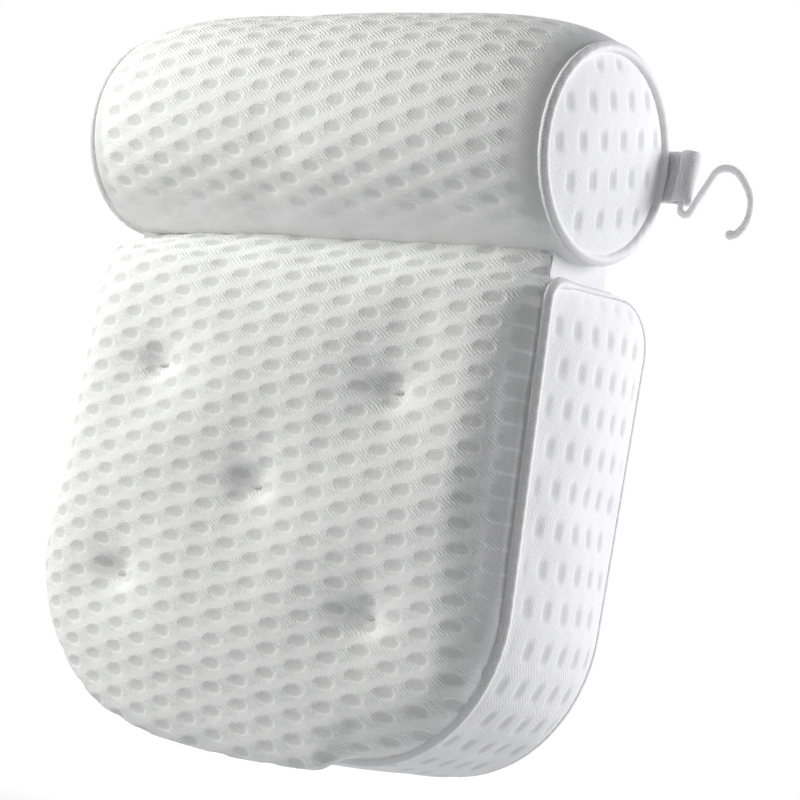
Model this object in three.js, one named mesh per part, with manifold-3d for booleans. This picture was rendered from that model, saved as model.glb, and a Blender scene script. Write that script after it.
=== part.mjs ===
import * as THREE from 'three';
import { mergeVertices } from 'three/addons/utils/BufferGeometryUtils.js';
import Module from 'manifold-3d';

const wasm = await Module();
wasm.setup();

// Driving dimensions, in millimetres
const gap = 0.3;
const fabric = 4;
const pipingRadius = 2.9;
const standOff = 18;
const cupPatternHeight = 130;
const padHeight = 265;
const padHalfWidth = 161;
const padBottomRadius = 85;
const padTopFrontRadius = 11;
const padTopRearRadius = 27;
const padTopFallDegrees = 6;
const padBottomBow = 5;
const padTaperDegrees = 2;
const padDepthBottom = 81;
const padDepthTop = 100;
const panelCrown = 28;
const panelBulge = 6.5;
const panelBorder = 26;
const domeReach = 125;
const lipRise = 20;
const lipSetback = 6;
const lipLean = 3;
const gussetBulge = 5;
const tuftDepth = 11;
const tuftReach = 22;
const tuftUpperMargin = 80;
const tuftLowerMargin = 75;
const tuftRise = 58;
const tuftMiddle = 130;
const tackLength = 8;
const tackWidth = 2.4;
const tackRise = 1.2;
const tackSink = 0.8;
const tieRadius = 1;
const knotRadius = 3;
const knotLength = 2;
const rollHalfLength = 159;
const rollEndRadius = 57;
const rollSwell = 7;
const rollSetback = 22;
const discThickness = 3;
const discDome = 2.2;
const neckGap = 5;
const neckThickness = 45;
const neckInset = 9;
const cupRadius = 30;
const cupRimLand = 4;
const cupRimEdge = 1.2;
const cupHollow = 8;
const cupDome = 12.6;
const cupColumnWall = 2.2;
const cupNeckRadius = 5.8;
const cupHeadRadius = 8.5;
const cupHeadLength = 4;
const cupHeadEdge = 1.6;
const cupSideMargin = 66;
const cupCornerMargin = 101;
const cupTopMargin = 30;
const cupBottomMargin = 55;
const tabWidth = 12;
const tabLength = 8;
const eyeletBore = 6.3;
const eyeletFlange = 10.5;
const eyeletFlangeThickness = 1.2;
const eyeletWall = 1.7;
const webbingRaise = 4.5;
const webbingWidth = 28;
const webbingPly = 1.6;
const webbingReach = 11;
const webbingSlack = 1.7;
const wireRadius = 1.7;
const stemTurn = 3.3;
const hookReach = 42;
const hookTop = 6.1;
const hookDrop = 29.2;
const hookBallRadius = 2.2;
const stemBallRadius = 2.7;

// Shares and counts that set the curves and their steps
const domePower = 3;
const domeFullness = 0.45;
const domeTopPower = 5;
const domeTopFullness = 0.5;
const columnShares = [0, 0.012, 0.05, 0.11, 0.17, 0.2325, 0.295, 0.36, 0.43];
const rowShares = [0, 0.012, 0.05, 0.11, 0.17, 0.24, 0.31, 0.38, 0.44, 0.496, 0.56, 0.62,
  0.69, 0.76, 0.82, 0.875, 0.92, 0.955, 0.985, 1];
const wadMargin = 3;
const bottomFlatness = 0.8;
const depthShares = [0, 0.33, 0.67, 1];
const swellPower = 5;
const rollShares = [-1, -0.93, -0.78, -0.5, 0, 0.5, 0.78, 0.93, 1];
const bottomSteps = 8;
const topSteps = 4;
const sideSteps = 4;
const edgeSteps = 3;
const neckSteps = 8;
const rollSides = 28;
const cordSides = 6;
const cupSides = 16;
const eyeletSides = 14;
const tieSides = 8;
const knotSides = 10;
const wireSides = 8;
const wireSteps = 56;
const bendSteps = 7;

// Directions
const across = new THREE.Vector3(1, 0, 0);
const inward = new THREE.Vector3(0, 1, 0);
const upward = new THREE.Vector3(0, 0, 1);

// Sizes that follow from the driving ones
const padBottom = -cupPatternHeight;
const padTop = padBottom + padHeight;
const padBack = -standOff;
const taper = THREE.MathUtils.degToRad(padTaperDegrees);
const topFall = THREE.MathUtils.degToRad(padTopFallDegrees);
const frontLean = Math.atan((padDepthTop - padDepthBottom) / padHeight);
const rearLine = padBack - pipingRadius;
const rollY = padBack - padDepthTop + rollSetback;
const rollZ = padTop + neckGap + rollEndRadius;
const coreBack = padBack - fabric - gap;
const discSeat = rollHalfLength - 2 * pipingRadius;
const tuftUpperOut = padHalfWidth - tuftUpperMargin;
const tuftLowerOut = padHalfWidth - tuftLowerMargin;
const cupColumnOut = padHalfWidth - cupSideMargin;
const cupCornerOut = padHalfWidth - cupCornerMargin;

// Rounded corners of the pad's side profile: front to top, and top to rear
const topAngle = Math.PI / 2 + topFall;
const frontCorner = corner(frontMeeting(), padTopFrontRadius, Math.PI + frontLean, topAngle);
const rearCorner = corner(new THREE.Vector2(rearLine, padTop), padTopRearRadius, topAngle, 0);
const [frontShoulder] = cornerPoints(frontCorner, 0);
const rearShoulder = cornerPoints(rearCorner, 0)[topSteps];
const panelTop = frontShoulder.y - gap;
const padMiddle = (padBottom + panelTop) / 2;
const neckHalfLength = Math.min(sideX(padTop), discSeat) - neckInset;
const cupUpperZ = rearShoulder.y - cupTopMargin;
const cupLowerZ = padBottom + cupBottomMargin;

// Places of the suction cups on the wall and of the tufts on the front panel
const cupSites = [
  [-cupCornerOut, cupUpperZ],
  [cupCornerOut, cupUpperZ],
  [-cupColumnOut, 0],
  [0, 0],
  [cupColumnOut, 0],
  [-cupCornerOut, cupLowerZ],
  [cupCornerOut, cupLowerZ],
];
const tuftSites = [
  [-tuftUpperOut, padBottom + tuftMiddle + tuftRise],
  [tuftUpperOut, padBottom + tuftMiddle + tuftRise],
  [0, padBottom + tuftMiddle],
  [-tuftLowerOut, padBottom + tuftMiddle - tuftRise],
  [tuftLowerOut, padBottom + tuftMiddle - tuftRise],
];

// Finishes
const finishes = {
  fabric: new THREE.MeshStandardMaterial({ color: 0xf1f1ee, roughness: 0.95, metalness: 0 }),
  cord: new THREE.MeshStandardMaterial({ color: 0xf4f4f2, roughness: 0.85, metalness: 0 }),
  foam: new THREE.MeshStandardMaterial({ color: 0xe9e6da, roughness: 1, metalness: 0 }),
  vinyl: new THREE.MeshStandardMaterial({ color: 0xdfe6e8, roughness: 0.15, metalness: 0 }),
  plastic: new THREE.MeshStandardMaterial({ color: 0xf2f2f4, roughness: 0.4, metalness: 0 }),
};

// Welded copy of a geometry without seams or slivers, turned so that its faces look outward
function weld(geometry) {
  const bare = geometry.index ? geometry : mergeVertices(geometry);
  bare.deleteAttribute('normal');
  bare.deleteAttribute('uv');
  const welded = mergeVertices(bare, 1e-4);
  const faces = [];
  for (let i = 0; i < welded.index.count; i += 3) {
    const [a, b, c] = [0, 1, 2].map((k) => welded.index.getX(i + k));
    if (a !== b && b !== c && c !== a) faces.push([a, b, c]);
  }
  const place = welded.attributes.position;
  const points = [];
  for (let i = 0; i < place.count; i += 1) points.push(new THREE.Vector3().fromBufferAttribute(place, i));
  return outward(points, faces);
}

// Solid made from a welded geometry, for joining and cutting
function solid(geometry) {
  const welded = weld(geometry);
  return new wasm.Manifold(new wasm.Mesh({
    numProp: 3,
    vertProperties: new Float32Array(welded.attributes.position.array),
    triVerts: new Uint32Array(welded.index.array),
  }));
}

// Geometry of a joined or cut solid
function surface(body) {
  const mesh = body.getMesh();
  const geometry = new THREE.BufferGeometry();
  geometry.setAttribute('position', new THREE.BufferAttribute(new Float32Array(mesh.vertProperties), 3));
  geometry.setIndex(Array.from(mesh.triVerts));
  return geometry;
}

// Geometry of a list of points and faces, turned so that its faces look outward
function outward(points, faces) {
  let volume = 0;
  for (const [a, b, c] of faces) volume += points[a].dot(points[b].clone().cross(points[c]));
  const turned = volume < 0 ? faces.map(([a, b, c]) => [a, c, b]) : faces;
  const geometry = new THREE.BufferGeometry().setFromPoints(points);
  geometry.setIndex(turned.flat());
  return geometry;
}

// Faces between two neighbouring rings of the same length
function band(first, second, count) {
  const faces = [];
  for (let i = 0; i < count; i += 1) {
    const j = (i + 1) % count;
    faces.push([first + i, second + i, second + j], [first + i, second + j, first + j]);
  }
  return faces;
}

// Ring-shaped body: the last ring joins the first
function cyclicLoft(rings) {
  const count = rings[0].length;
  const faces = rings.flatMap((ring, k) => band(k * count, ((k + 1) % rings.length) * count, count));
  return outward(rings.flat(), faces);
}

// Solid body between a first and a last ring, both closed by a fan on a middle point
function cappedLoft(rings, firstMiddle, lastMiddle) {
  const count = rings[0].length;
  const points = [...rings.flat(), firstMiddle, lastMiddle];
  const first = points.length - 2;
  const last = points.length - 1;
  const final = (rings.length - 1) * count;
  const faces = rings.slice(1).flatMap((ring, k) => band(k * count, (k + 1) * count, count));
  for (let i = 0; i < count; i += 1) {
    const j = (i + 1) % count;
    faces.push([first, i, j], [last, final + j, final + i]);
  }
  return outward(points, faces);
}

// Named mesh
function piece(name, geometry, finish) {
  const mesh = new THREE.Mesh(geometry, finishes[finish]);
  mesh.name = name;
  return mesh;
}

// Place of the pad's straight side at a height
function sideX(z) {
  const footX = padHalfWidth - padBottomRadius + padBottomRadius * Math.cos(taper);
  const footZ = padBottom + padBottomRadius + padBottomRadius * Math.sin(taper);
  return footX - (z - footZ) * Math.tan(taper);
}

// Right half of the pad's outline seen from the front, from the bottom middle up the side to a height
function sideOutline(top) {
  const low = { x: padHalfWidth - padBottomRadius, z: padBottom + padBottomRadius };
  const points = [];
  for (let i = 0; i < edgeSteps; i += 1) {
    const bow = padBottomBow * (1 - (i / edgeSteps) ** 2);
    points.push({ x: (low.x * i) / edgeSteps, z: padBottom - bow, out: new THREE.Vector3(0, 0, -1) });
  }
  for (let i = 0; i <= bottomSteps; i += 1) {
    const angle = -Math.PI / 2 + ((Math.PI / 2 + taper) * i) / bottomSteps;
    const out = new THREE.Vector3(Math.cos(angle), 0, Math.sin(angle));
    points.push({ x: low.x + padBottomRadius * out.x, z: low.z + padBottomRadius * out.z, out });
  }
  const foot = points[points.length - 1];
  for (let i = 1; i <= sideSteps; i += 1) {
    const z = foot.z + ((top - foot.z) * i) / sideSteps;
    points.push({ x: sideX(z), z, out: foot.out });
  }
  return points;
}

// Depth of the plane that holds the front piping
function frontPlane(z) {
  const share = (z - padBottom) / padHeight;
  return padBack - padDepthBottom - (padDepthTop - padDepthBottom) * share;
}

// Height of the pad's top at a depth: it falls towards the front
function topLine(y) {
  return padTop - (rearLine - y) * Math.tan(topFall);
}

// Point of the side profile where the front plane would meet the top
function frontMeeting() {
  const rise = Math.tan(topFall);
  const z = (padTop - (rearLine - frontPlane(0)) * rise) / (1 + Math.tan(frontLean) * rise);
  return new THREE.Vector2(frontPlane(z), z);
}

// Rounded corner of the side profile, between the outward angles of its two straight stretches
function corner(point, radius, from, to) {
  const first = new THREE.Vector2(Math.cos(from), Math.sin(from));
  const second = new THREE.Vector2(Math.cos(to), Math.sin(to));
  const away = first.clone().add(second).multiplyScalar(radius / (1 + first.dot(second)));
  return { middle: point.clone().sub(away), radius, from, to };
}

// Points round a corner of the side profile, moved in by an inset
function cornerPoints({ middle, radius, from, to }, inset) {
  const points = [];
  for (let i = 0; i <= topSteps; i += 1) {
    const angle = from + ((to - from) * i) / topSteps;
    const turn = new THREE.Vector2(Math.cos(angle), Math.sin(angle));
    points.push(turn.multiplyScalar(radius - inset).add(middle));
  }
  return points;
}

// Closed loop round the pad up to a height, at an inset from its outline and at a depth given by height
function padRing(inset, depthAt, top) {
  const half = sideOutline(top).map(({ x, z, out }) => [x - inset * out.x, z - inset * out.z]);
  const [cornerX, cornerZ] = half[half.length - 1];
  for (let i = edgeSteps - 1; i >= 0; i -= 1) half.push([(cornerX * i) / edgeSteps, cornerZ]);
  const other = half.slice(1, -1).reverse().map(([x, z]) => [-x, z]);
  return [...half, ...other].map(([x, z]) => new THREE.Vector3(x, depthAt(z), z));
}

// Point of the front plane
function onFront(x, z) {
  return new THREE.Vector3(x, frontPlane(z), z);
}

// Mirror image on the other side of the pad
function mirrored(point) {
  return new THREE.Vector3(-point.x, point.y, point.z);
}

// Point at a share of the length of a path
function pointAlong(path, share) {
  const steps = path.slice(1).map((point, i) => point.distanceTo(path[i]));
  let rest = share * steps.reduce((sum, step) => sum + step, 0);
  let i = 0;
  while (i < steps.length - 1 && rest > steps[i]) {
    rest -= steps[i];
    i += 1;
  }
  return path[i].clone().lerp(path[i + 1], rest / steps[i]);
}

// Flat patch inside the front piping, with a lip at its top that leans back to the crease under the roll
function panelPatch() {
  const inset = pipingRadius + gap;
  const outline = sideOutline(panelTop - 2 * fabric);
  const edge = outline.map(({ x, z, out }) => onFront(x - inset * out.x, z - inset * out.z));
  const turn = edgeSteps + bottomSteps / 2;
  const lip = [[0, -lipLean], [0.35, -lipLean], [1, lipSetback]].map(([share, back]) => {
    const z = panelTop + lipRise * share;
    return new THREE.Vector3(sideX(z) - inset, frontShoulder.x + back, z);
  });
  const right = [...edge.slice(turn), ...lip];
  const left = right.map(mirrored);
  const bottom = [...edge.slice(1, turn + 1).map(mirrored).reverse(), ...edge.slice(0, turn + 1)];
  const top = [left[left.length - 1], right[right.length - 1]];
  const columns = [...columnShares, 0.5, ...columnShares.map((share) => 1 - share).reverse()];
  return rowShares.map((v) => columns.map((u) => {
    const point = pointAlong(bottom, u).multiplyScalar(1 - v).addScaledVector(pointAlong(top, u), v);
    point.addScaledVector(pointAlong(left, v), 1 - u).addScaledVector(pointAlong(right, v), u);
    point.addScaledVector(bottom[0], (u - 1) * (1 - v));
    point.addScaledVector(bottom[bottom.length - 1], -u * (1 - v));
    point.addScaledVector(top[0], (u - 1) * v).addScaledVector(top[1], -u * v);
    return { point, v };
  }));
}

// Distance of a point of the front panel from its seam, and the way out to it
function seamFrom(point) {
  const inset = pipingRadius + gap;
  const low = { x: padHalfWidth - padBottomRadius, z: padBottom + padBottomRadius };
  const away = new THREE.Vector3(Math.max(0, Math.abs(point.x) - low.x), 0, Math.min(0, point.z - low.z));
  if (point.z > low.z) {
    const out = across.clone().multiplyScalar(Math.sign(point.x));
    return { distance: sideX(point.z) - inset - Math.abs(point.x), out };
  }
  const bow = padBottomBow * (1 - Math.min(1, Math.abs(point.x) / low.x) ** 2);
  const distance = padBottomRadius + bow - inset - away.length();
  away.x *= Math.sign(point.x);
  return { distance, out: away.normalize() };
}

// Forward rise of the front panel at a distance from its seam and a share of its height, less the tufts' dips
function crownRise(point, distance, v) {
  const nearness = 1 - Math.min(1, Math.max(0, distance / domeReach));
  const edge = (1 - nearness ** domePower) ** domeFullness;
  const top = (1 - Math.max(0, 2 * v - 1) ** domeTopPower) ** domeTopFullness;
  const dips = tuftSites.reduce((sum, [x, z]) => {
    const away = Math.hypot(point.x - x, point.z - z) / tuftReach;
    return sum + tuftDepth * Math.exp(-away * away);
  }, 0);
  return edge * top * (panelCrown - dips);
}

// Face of the front panel: the patch crowned forward, with a lower border that bulges out over the piping
function panelFace() {
  return panelPatch().map((row) => row.map(({ point, v }) => {
    const { distance, out } = seamFrom(point);
    const share = Math.min(1, Math.max(0, distance / panelBorder));
    const push = (panelBorder / 2 + 11 * panelBulge) * share * (1 - share) ** 2 * Math.max(0, -out.z);
    return point.clone().addScaledVector(inward, -crownRise(point, distance, v)).addScaledVector(out, push);
  }));
}

// Grid moved back along its own normals
function sunk(grid, depth) {
  const last = grid.length - 1;
  return grid.map((row, r) => row.map((point, c) => {
    const along = row[Math.min(row.length - 1, c + 1)].clone().sub(row[Math.max(0, c - 1)]);
    const up = grid[Math.min(last, r + 1)][c].clone().sub(grid[Math.max(0, r - 1)][c]);
    return point.clone().addScaledVector(along.cross(up).normalize(), -depth);
  }));
}

// Solid between two grids of the same size, closed round their edges
function gridSolid(face, back) {
  const columns = face[0].length;
  const points = [...face.flat(), ...back.flat()];
  const under = face.length * columns;
  const faces = [];
  for (let r = 0; r < face.length - 1; r += 1) {
    for (let c = 0; c < columns - 1; c += 1) {
      const [a, b] = [r * columns + c, r * columns + c + 1];
      const [d, e] = [b + columns, a + columns];
      faces.push([a, b, d], [a, d, e], [under + a, under + d, under + b], [under + a, under + e, under + d]);
    }
  }
  const loop = [];
  for (let c = 0; c < columns; c += 1) loop.push(c);
  for (let r = 1; r < face.length; r += 1) loop.push(r * columns + columns - 1);
  for (let c = columns - 2; c >= 0; c -= 1) loop.push((face.length - 1) * columns + c);
  for (let r = face.length - 2; r > 0; r -= 1) loop.push(r * columns);
  loop.forEach((a, i) => {
    const b = loop[(i + 1) % loop.length];
    faces.push([b, a, under + a], [b, under + a, under + b]);
  });
  return outward(points, faces);
}

// Tuft tie with its bar tack in front and its knot behind, grown by a clearance
function tuftTie([x, z], faceY, grow) {
  const seat = frontPlane(z) + pipingRadius;
  const tackDepth = tackRise + tackSink + 2 * grow;
  const tack = new THREE.BoxGeometry(tackLength + 2 * grow, tackDepth, tackWidth + 2 * grow);
  tack.translate(x, faceY + (tackSink - tackRise) / 2, z);
  const legEnd = seat + knotLength;
  const leg = new THREE.CylinderGeometry(tieRadius + grow, tieRadius + grow, legEnd - faceY, tieSides);
  leg.translate(x, (faceY + legEnd) / 2, z);
  const knotReach = knotRadius + grow;
  const knot = new THREE.CylinderGeometry(knotReach, knotReach, knotLength + 2 * grow, knotSides);
  knot.translate(x, seat + knotLength / 2, z);
  return solid(tack).add(solid(leg)).add(solid(knot));
}

// Depth of the front panel's face at a tuft
function faceDepth(mesh, [x, z]) {
  const ray = new THREE.Raycaster(new THREE.Vector3(x, -10 * padHeight, z), inward);
  return ray.intersectObject(mesh)[0].point.y;
}

// Front panel, its wadding and the tufts that hold the two together
function padFront() {
  const face = panelFace();
  const skin = gridSolid(face, sunk(face, fabric));
  const flatRows = panelPatch().filter((row) => row[0].point.z < panelTop - wadMargin * fabric).length;
  const within = (grid) => grid.slice(wadMargin, flatRows).map((row) => row.slice(wadMargin, -wadMargin));
  const filling = within(sunk(face, fabric + gap));
  const seated = ({ x, z }) => onFront(x, z).addScaledVector(inward, pipingRadius - gap);
  const seat = filling.map((row) => row.map(seated));
  const wad = gridSolid(filling, seat);
  const probe = new THREE.Mesh(skin, finishes.fabric);
  const faces = tuftSites.map((site) => faceDepth(probe, site));
  const cutters = tuftSites.map((site, i) => tuftTie(site, faces[i], gap));
  const panel = cutters.reduce((body, cutter) => body.subtract(cutter), solid(skin));
  const wadding = cutters.reduce((body, cutter) => body.subtract(cutter), solid(wad));
  const ties = tuftSites.map((site, i) => {
    const tie = tuftTie(site, faces[i], 0);
    return piece(`tuft_tie_${i + 1}`, surface(tie), 'cord');
  });
  const cover = piece('front_panel', surface(panel), 'fabric');
  return [cover, piece('pad_wadding', surface(wadding), 'foam'), ...ties];
}

// Round pocket or pin along Y
function rod(x, z, from, to, radius, sides) {
  const cylinder = new THREE.CylinderGeometry(radius, radius, Math.abs(to - from), sides);
  cylinder.translate(x, (from + to) / 2, z);
  return solid(cylinder);
}

// Foam block with a rounded top, and pockets for the tuft knots and the cup heads
function padCore() {
  const wall = fabric + gap;
  const depth = (share) => (z) => {
    const front = frontPlane(z) + pipingRadius;
    return front + (coreBack - front) * share;
  };
  const levels = [...cornerPoints(frontCorner, wall), ...cornerPoints(rearCorner, wall)].map(({ x, y }) => {
    const front = depth(0)(y);
    return { share: (x - front) / (coreBack - front), top: y };
  });
  levels.unshift({ share: 0, top: panelTop - gap });
  levels.push({ share: 1, top: rearShoulder.y - gap });
  const rings = levels.map(({ share, top }) => padRing(wall, depth(share), top));
  const front = new THREE.Vector3(0, depth(0)(padMiddle), padMiddle);
  let body = solid(cappedLoft(rings, front, new THREE.Vector3(0, coreBack, padMiddle)));
  for (const [x, z] of tuftSites) {
    const seat = frontPlane(z) + pipingRadius;
    body = body.subtract(rod(x, z, seat - knotLength, seat + knotLength + gap, knotRadius + gap, knotSides));
  }
  const pocket = coreBack - eyeletFlangeThickness - cupHeadLength - 3 * gap;
  for (const [x, z] of cupSites) {
    body = body.subtract(rod(x, z, pocket, coreBack + fabric, eyeletFlange + 2 * gap, eyeletSides));
  }
  return piece('pad_core', surface(body), 'foam');
}

// Half of a run along an edge of the strip: up the side at a depth, then round a corner of its top end
function edgeRun(depthAt, shoulder, bend) {
  const place = ({ x, z, out }) => ({ at: new THREE.Vector3(x, depthAt(z), z), out });
  const run = sideOutline(shoulder.y).map(place);
  const { out } = run[run.length - 1];
  const round = bend.slice(1).map(({ x, y }) => ({ at: new THREE.Vector3(sideX(y), x, y), out }));
  return [...run, ...round];
}

// Runs at the strip's two edges, at an offset from the middle of the piping
function frontRun(offset) {
  return edgeRun((z) => frontPlane(z) + offset, frontShoulder, cornerPoints(frontCorner, offset));
}
function rearRun(offset) {
  return edgeRun(() => rearLine - offset, rearShoulder, cornerPoints(rearCorner, offset).toReversed());
}

// Both halves of a run, from the left top end round the bottom to the right one
function bothSides(run) {
  const other = run.slice(1).reverse().map(({ at, out }) => ({ at: mirrored(at), out: mirrored(out) }));
  return [...other, ...run];
}

// Outward bulge of the strip at a share of its depth
function bulgeAt(share) {
  return gussetBulge * 4 * share * (1 - share);
}

// Strip that forms the sides and the bottom of the pad, with round top ends
function gusset() {
  const front = bothSides(frontRun(pipingRadius + gap));
  const rear = bothSides(rearRun(pipingRadius + gap));
  const rings = front.map(({ at, out }, k) => {
    const fromEnd = Math.min(k, front.length - 1 - k) / topSteps;
    const fullness = (1 - Math.max(0, 1 - fromEnd) ** 2) * (1 + bottomFlatness * Math.min(0, out.z));
    const level = (inset) => depthShares.map((share) => {
      const push = bulgeAt(share) * fullness - inset;
      return at.clone().lerp(rear[k].at, share).addScaledVector(out, push);
    });
    return [...level(0), ...level(fabric).toReversed()];
  });
  const middle = (ring) => ring.reduce((sum, p) => sum.add(p), new THREE.Vector3()).divideScalar(ring.length);
  return piece('gusset', cappedLoft(rings, middle(rings[0]), middle(rings[rings.length - 1])), 'fabric');
}

// Piping cord along an edge of the strip; the two cords meet on its top ends
function padPiping(name, run, meetY) {
  const top = new THREE.Vector3(sideX(topLine(meetY)), meetY, topLine(meetY));
  const path = bothSides([...run, { at: top, out: run[run.length - 1].out }]);
  const rings = path.map(({ at, out }, k) => {
    const before = path[Math.max(0, k - 1)].at;
    const after = path[Math.min(path.length - 1, k + 1)].at;
    const aside = after.clone().sub(before).cross(out).normalize();
    const ring = [];
    for (let i = 0; i < cordSides; i += 1) {
      const angle = (Math.PI * 2 * i) / cordSides;
      const point = at.clone().addScaledVector(out, pipingRadius * Math.cos(angle));
      ring.push(point.addScaledVector(aside, pipingRadius * Math.sin(angle)));
    }
    return ring;
  });
  return piece(name, cappedLoft(rings, path[0].at, path[path.length - 1].at), 'cord');
}

// Bar along X with a shape in the side profile's plane
function barAlong(shape, halfLengthAt) {
  const bar = weld(new THREE.ExtrudeGeometry(shape, { depth: 2, bevelEnabled: false }));
  bar.applyMatrix4(new THREE.Matrix4().makeBasis(inward, upward, across));
  bar.translate(-1, 0, 0);
  const place = bar.attributes.position;
  for (let i = 0; i < place.count; i += 1) place.setX(i, place.getX(i) * halfLengthAt(place.getZ(i)));
  return bar;
}

// Fabric over the top of the pad, from the front panel to the back panel
function topPanel() {
  const face = (inset) => [...cornerPoints(frontCorner, inset), ...cornerPoints(rearCorner, inset)];
  const shape = new THREE.Shape([...face(0), ...face(fabric).toReversed()]);
  return piece('top_panel', barAlong(shape, (z) => sideX(z) - fabric - gap), 'fabric');
}

// Back panel with a hole for each eyelet
function backPanel() {
  const outline = padRing(pipingRadius + gap, () => 0, rearShoulder.y - gap);
  const shape = new THREE.Shape(outline.map((p) => new THREE.Vector2(p.x, p.z)));
  for (const [x, z] of cupSites) {
    const hole = new THREE.Path();
    hole.absarc(x, z, eyeletBore + eyeletWall + gap, 0, Math.PI * 2, true);
    shape.holes.push(hole);
  }
  const settings = { depth: fabric, bevelEnabled: false, curveSegments: bendSteps };
  const plate = new THREE.ExtrudeGeometry(shape, settings);
  plate.applyMatrix4(new THREE.Matrix4().makeBasis(across, upward, inward.clone().negate()));
  plate.translate(0, padBack, 0);
  return piece('back_panel', weld(plate), 'fabric');
}

// Turned body on an axis along Y
function turned(profile, sides) {
  return weld(new THREE.LatheGeometry(profile.map(([r, y]) => new THREE.Vector2(r, y)), sides));
}

// Eyelet clinched on both faces of the back panel
function eyelet(index, [x, z]) {
  const front = padBack - fabric - gap;
  const back = padBack + gap;
  const wall = eyeletBore + eyeletWall;
  const ring = turned([
    [eyeletBore, back + eyeletFlangeThickness],
    [eyeletBore, front - eyeletFlangeThickness],
    [eyeletFlange, front - eyeletFlangeThickness],
    [eyeletFlange, front],
    [wall, front],
    [wall, back],
    [eyeletFlange, back],
    [eyeletFlange, back + eyeletFlangeThickness],
    [eyeletBore, back + eyeletFlangeThickness],
  ], eyeletSides);
  ring.translate(x, 0, z);
  return piece(`eyelet_${index + 1}`, ring, 'plastic');
}

// Suction cup with a neck through its eyelet, a mushroom head and a pull tab
function suctionCup(index, [x, z]) {
  const shoulder = padBack + 2 * gap + eyeletFlangeThickness;
  const headSeat = padBack - fabric - 2 * gap - eyeletFlangeThickness;
  const headEnd = headSeat - cupHeadLength;
  const column = cupNeckRadius + cupColumnWall;
  const body = turned([
    [0, -cupHollow],
    [cupRadius * 0.4, -cupHollow * 0.88],
    [cupRadius * 0.68, -cupHollow * 0.52],
    [cupRadius - cupRimLand, 0],
    [cupRadius, 0],
    [cupRadius, -cupRimEdge],
    [cupRadius * 0.78, -cupDome * 0.46],
    [cupRadius * 0.45, -cupDome * 0.83],
    [column, -cupDome],
    [column, shoulder],
    [cupNeckRadius, shoulder],
    [cupNeckRadius, headSeat],
    [cupHeadRadius, headSeat],
    [cupHeadRadius, headSeat - cupHeadEdge],
    [cupNeckRadius * 0.6, headEnd],
    [0, headEnd],
  ], cupSides);
  const overlap = cupRimLand / 2;
  const tab = new THREE.BoxGeometry(tabWidth, cupRimEdge, tabLength + overlap);
  tab.translate(0, -cupRimEdge / 2, -cupRadius - (tabLength - overlap) / 2);
  const joined = surface(solid(body).add(solid(tab)));
  joined.translate(x, 0, z);
  return piece(`suction_cup_${index + 1}`, joined, 'vinyl');
}

// Swell of the roll at a place along its length, from none at the ends to all in the middle
function swellAt(x) {
  return rollSwell * (1 - Math.abs(x / rollHalfLength) ** swellPower);
}

// Loop round the roll at a place along its length; its underside stays level
function rollRing(x, inset) {
  const swell = swellAt(x);
  const radius = rollEndRadius - gap + swell - inset;
  const points = [];
  for (let i = 0; i < rollSides; i += 1) {
    const angle = (Math.PI * 2 * i) / rollSides;
    const z = rollZ + swell + radius * Math.sin(angle);
    points.push(new THREE.Vector3(x, rollY + radius * Math.cos(angle), z));
  }
  return points;
}

// Sleeve and core of the neck roll
function rollBody() {
  const end = discSeat - gap;
  const outer = rollShares.map((share) => rollRing(share * end, 0));
  const inner = rollShares.map((share) => rollRing(share * end, fabric));
  const sleeve = cyclicLoft([...outer, ...inner.toReversed()]);
  const core = rollShares.map((share) => rollRing(share * end, fabric + gap));
  const middle = (x) => new THREE.Vector3(x, rollY, rollZ);
  const filling = cappedLoft(core, middle(-end), middle(end));
  return [piece('roll_sleeve', sleeve, 'fabric'), piece('roll_core', filling, 'foam')];
}

// End disc and its piping on one side of the roll
function rollEnd(side, name) {
  const radius = rollEndRadius - 2 * pipingRadius - gap;
  const disc = turned([
    [0, discSeat],
    [radius, discSeat],
    [radius, discSeat + discThickness * 0.7],
    [radius * 0.75, discSeat + discThickness],
    [0, discSeat + pipingRadius + discDome],
  ], rollSides);
  disc.rotateZ(-Math.PI / 2);
  const cordMiddle = rollEndRadius - pipingRadius;
  const ring = weld(new THREE.TorusGeometry(cordMiddle, pipingRadius, cordSides, rollSides));
  ring.rotateY(Math.PI / 2);
  ring.translate(discSeat + pipingRadius, 0, 0);
  const parts = [piece(`roll_disc_${name}`, disc, 'fabric'), piece(`roll_piping_${name}`, ring, 'cord')];
  for (const part of parts) {
    if (side < 0) part.geometry.rotateZ(Math.PI);
    part.geometry.translate(0, rollY, rollZ);
  }
  return parts;
}

// Fabric neck that joins the roll to the top of the pad
function neck() {
  const front = cornerPoints(frontCorner, 0)[topSteps].x;
  const rear = front + neckThickness;
  const reach = rollEndRadius + rollSwell + pipingRadius;
  const middle = rollZ - rollEndRadius - gap + reach;
  const shape = new THREE.Shape();
  shape.moveTo(front, topLine(front) + gap);
  shape.lineTo(rear, topLine(rear) + gap);
  for (let i = 0; i <= neckSteps; i += 1) {
    const y = rear - (neckThickness * i) / neckSteps;
    shape.lineTo(y, middle - Math.sqrt(reach * reach - (y - rollY) ** 2));
  }
  return piece('neck', barAlong(shape, () => neckHalfLength), 'fabric');
}

// Places of the hook's webbing: the sewn edge and the bar that it wraps
const webbingHalf = webbingPly + gap;
const rootX = rollHalfLength + webbingHalf - gap;
const webbingRoot = new THREE.Vector3(rootX, rollY + rollEndRadius, rollZ + webbingRaise);
const barX = rootX + webbingReach;

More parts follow.
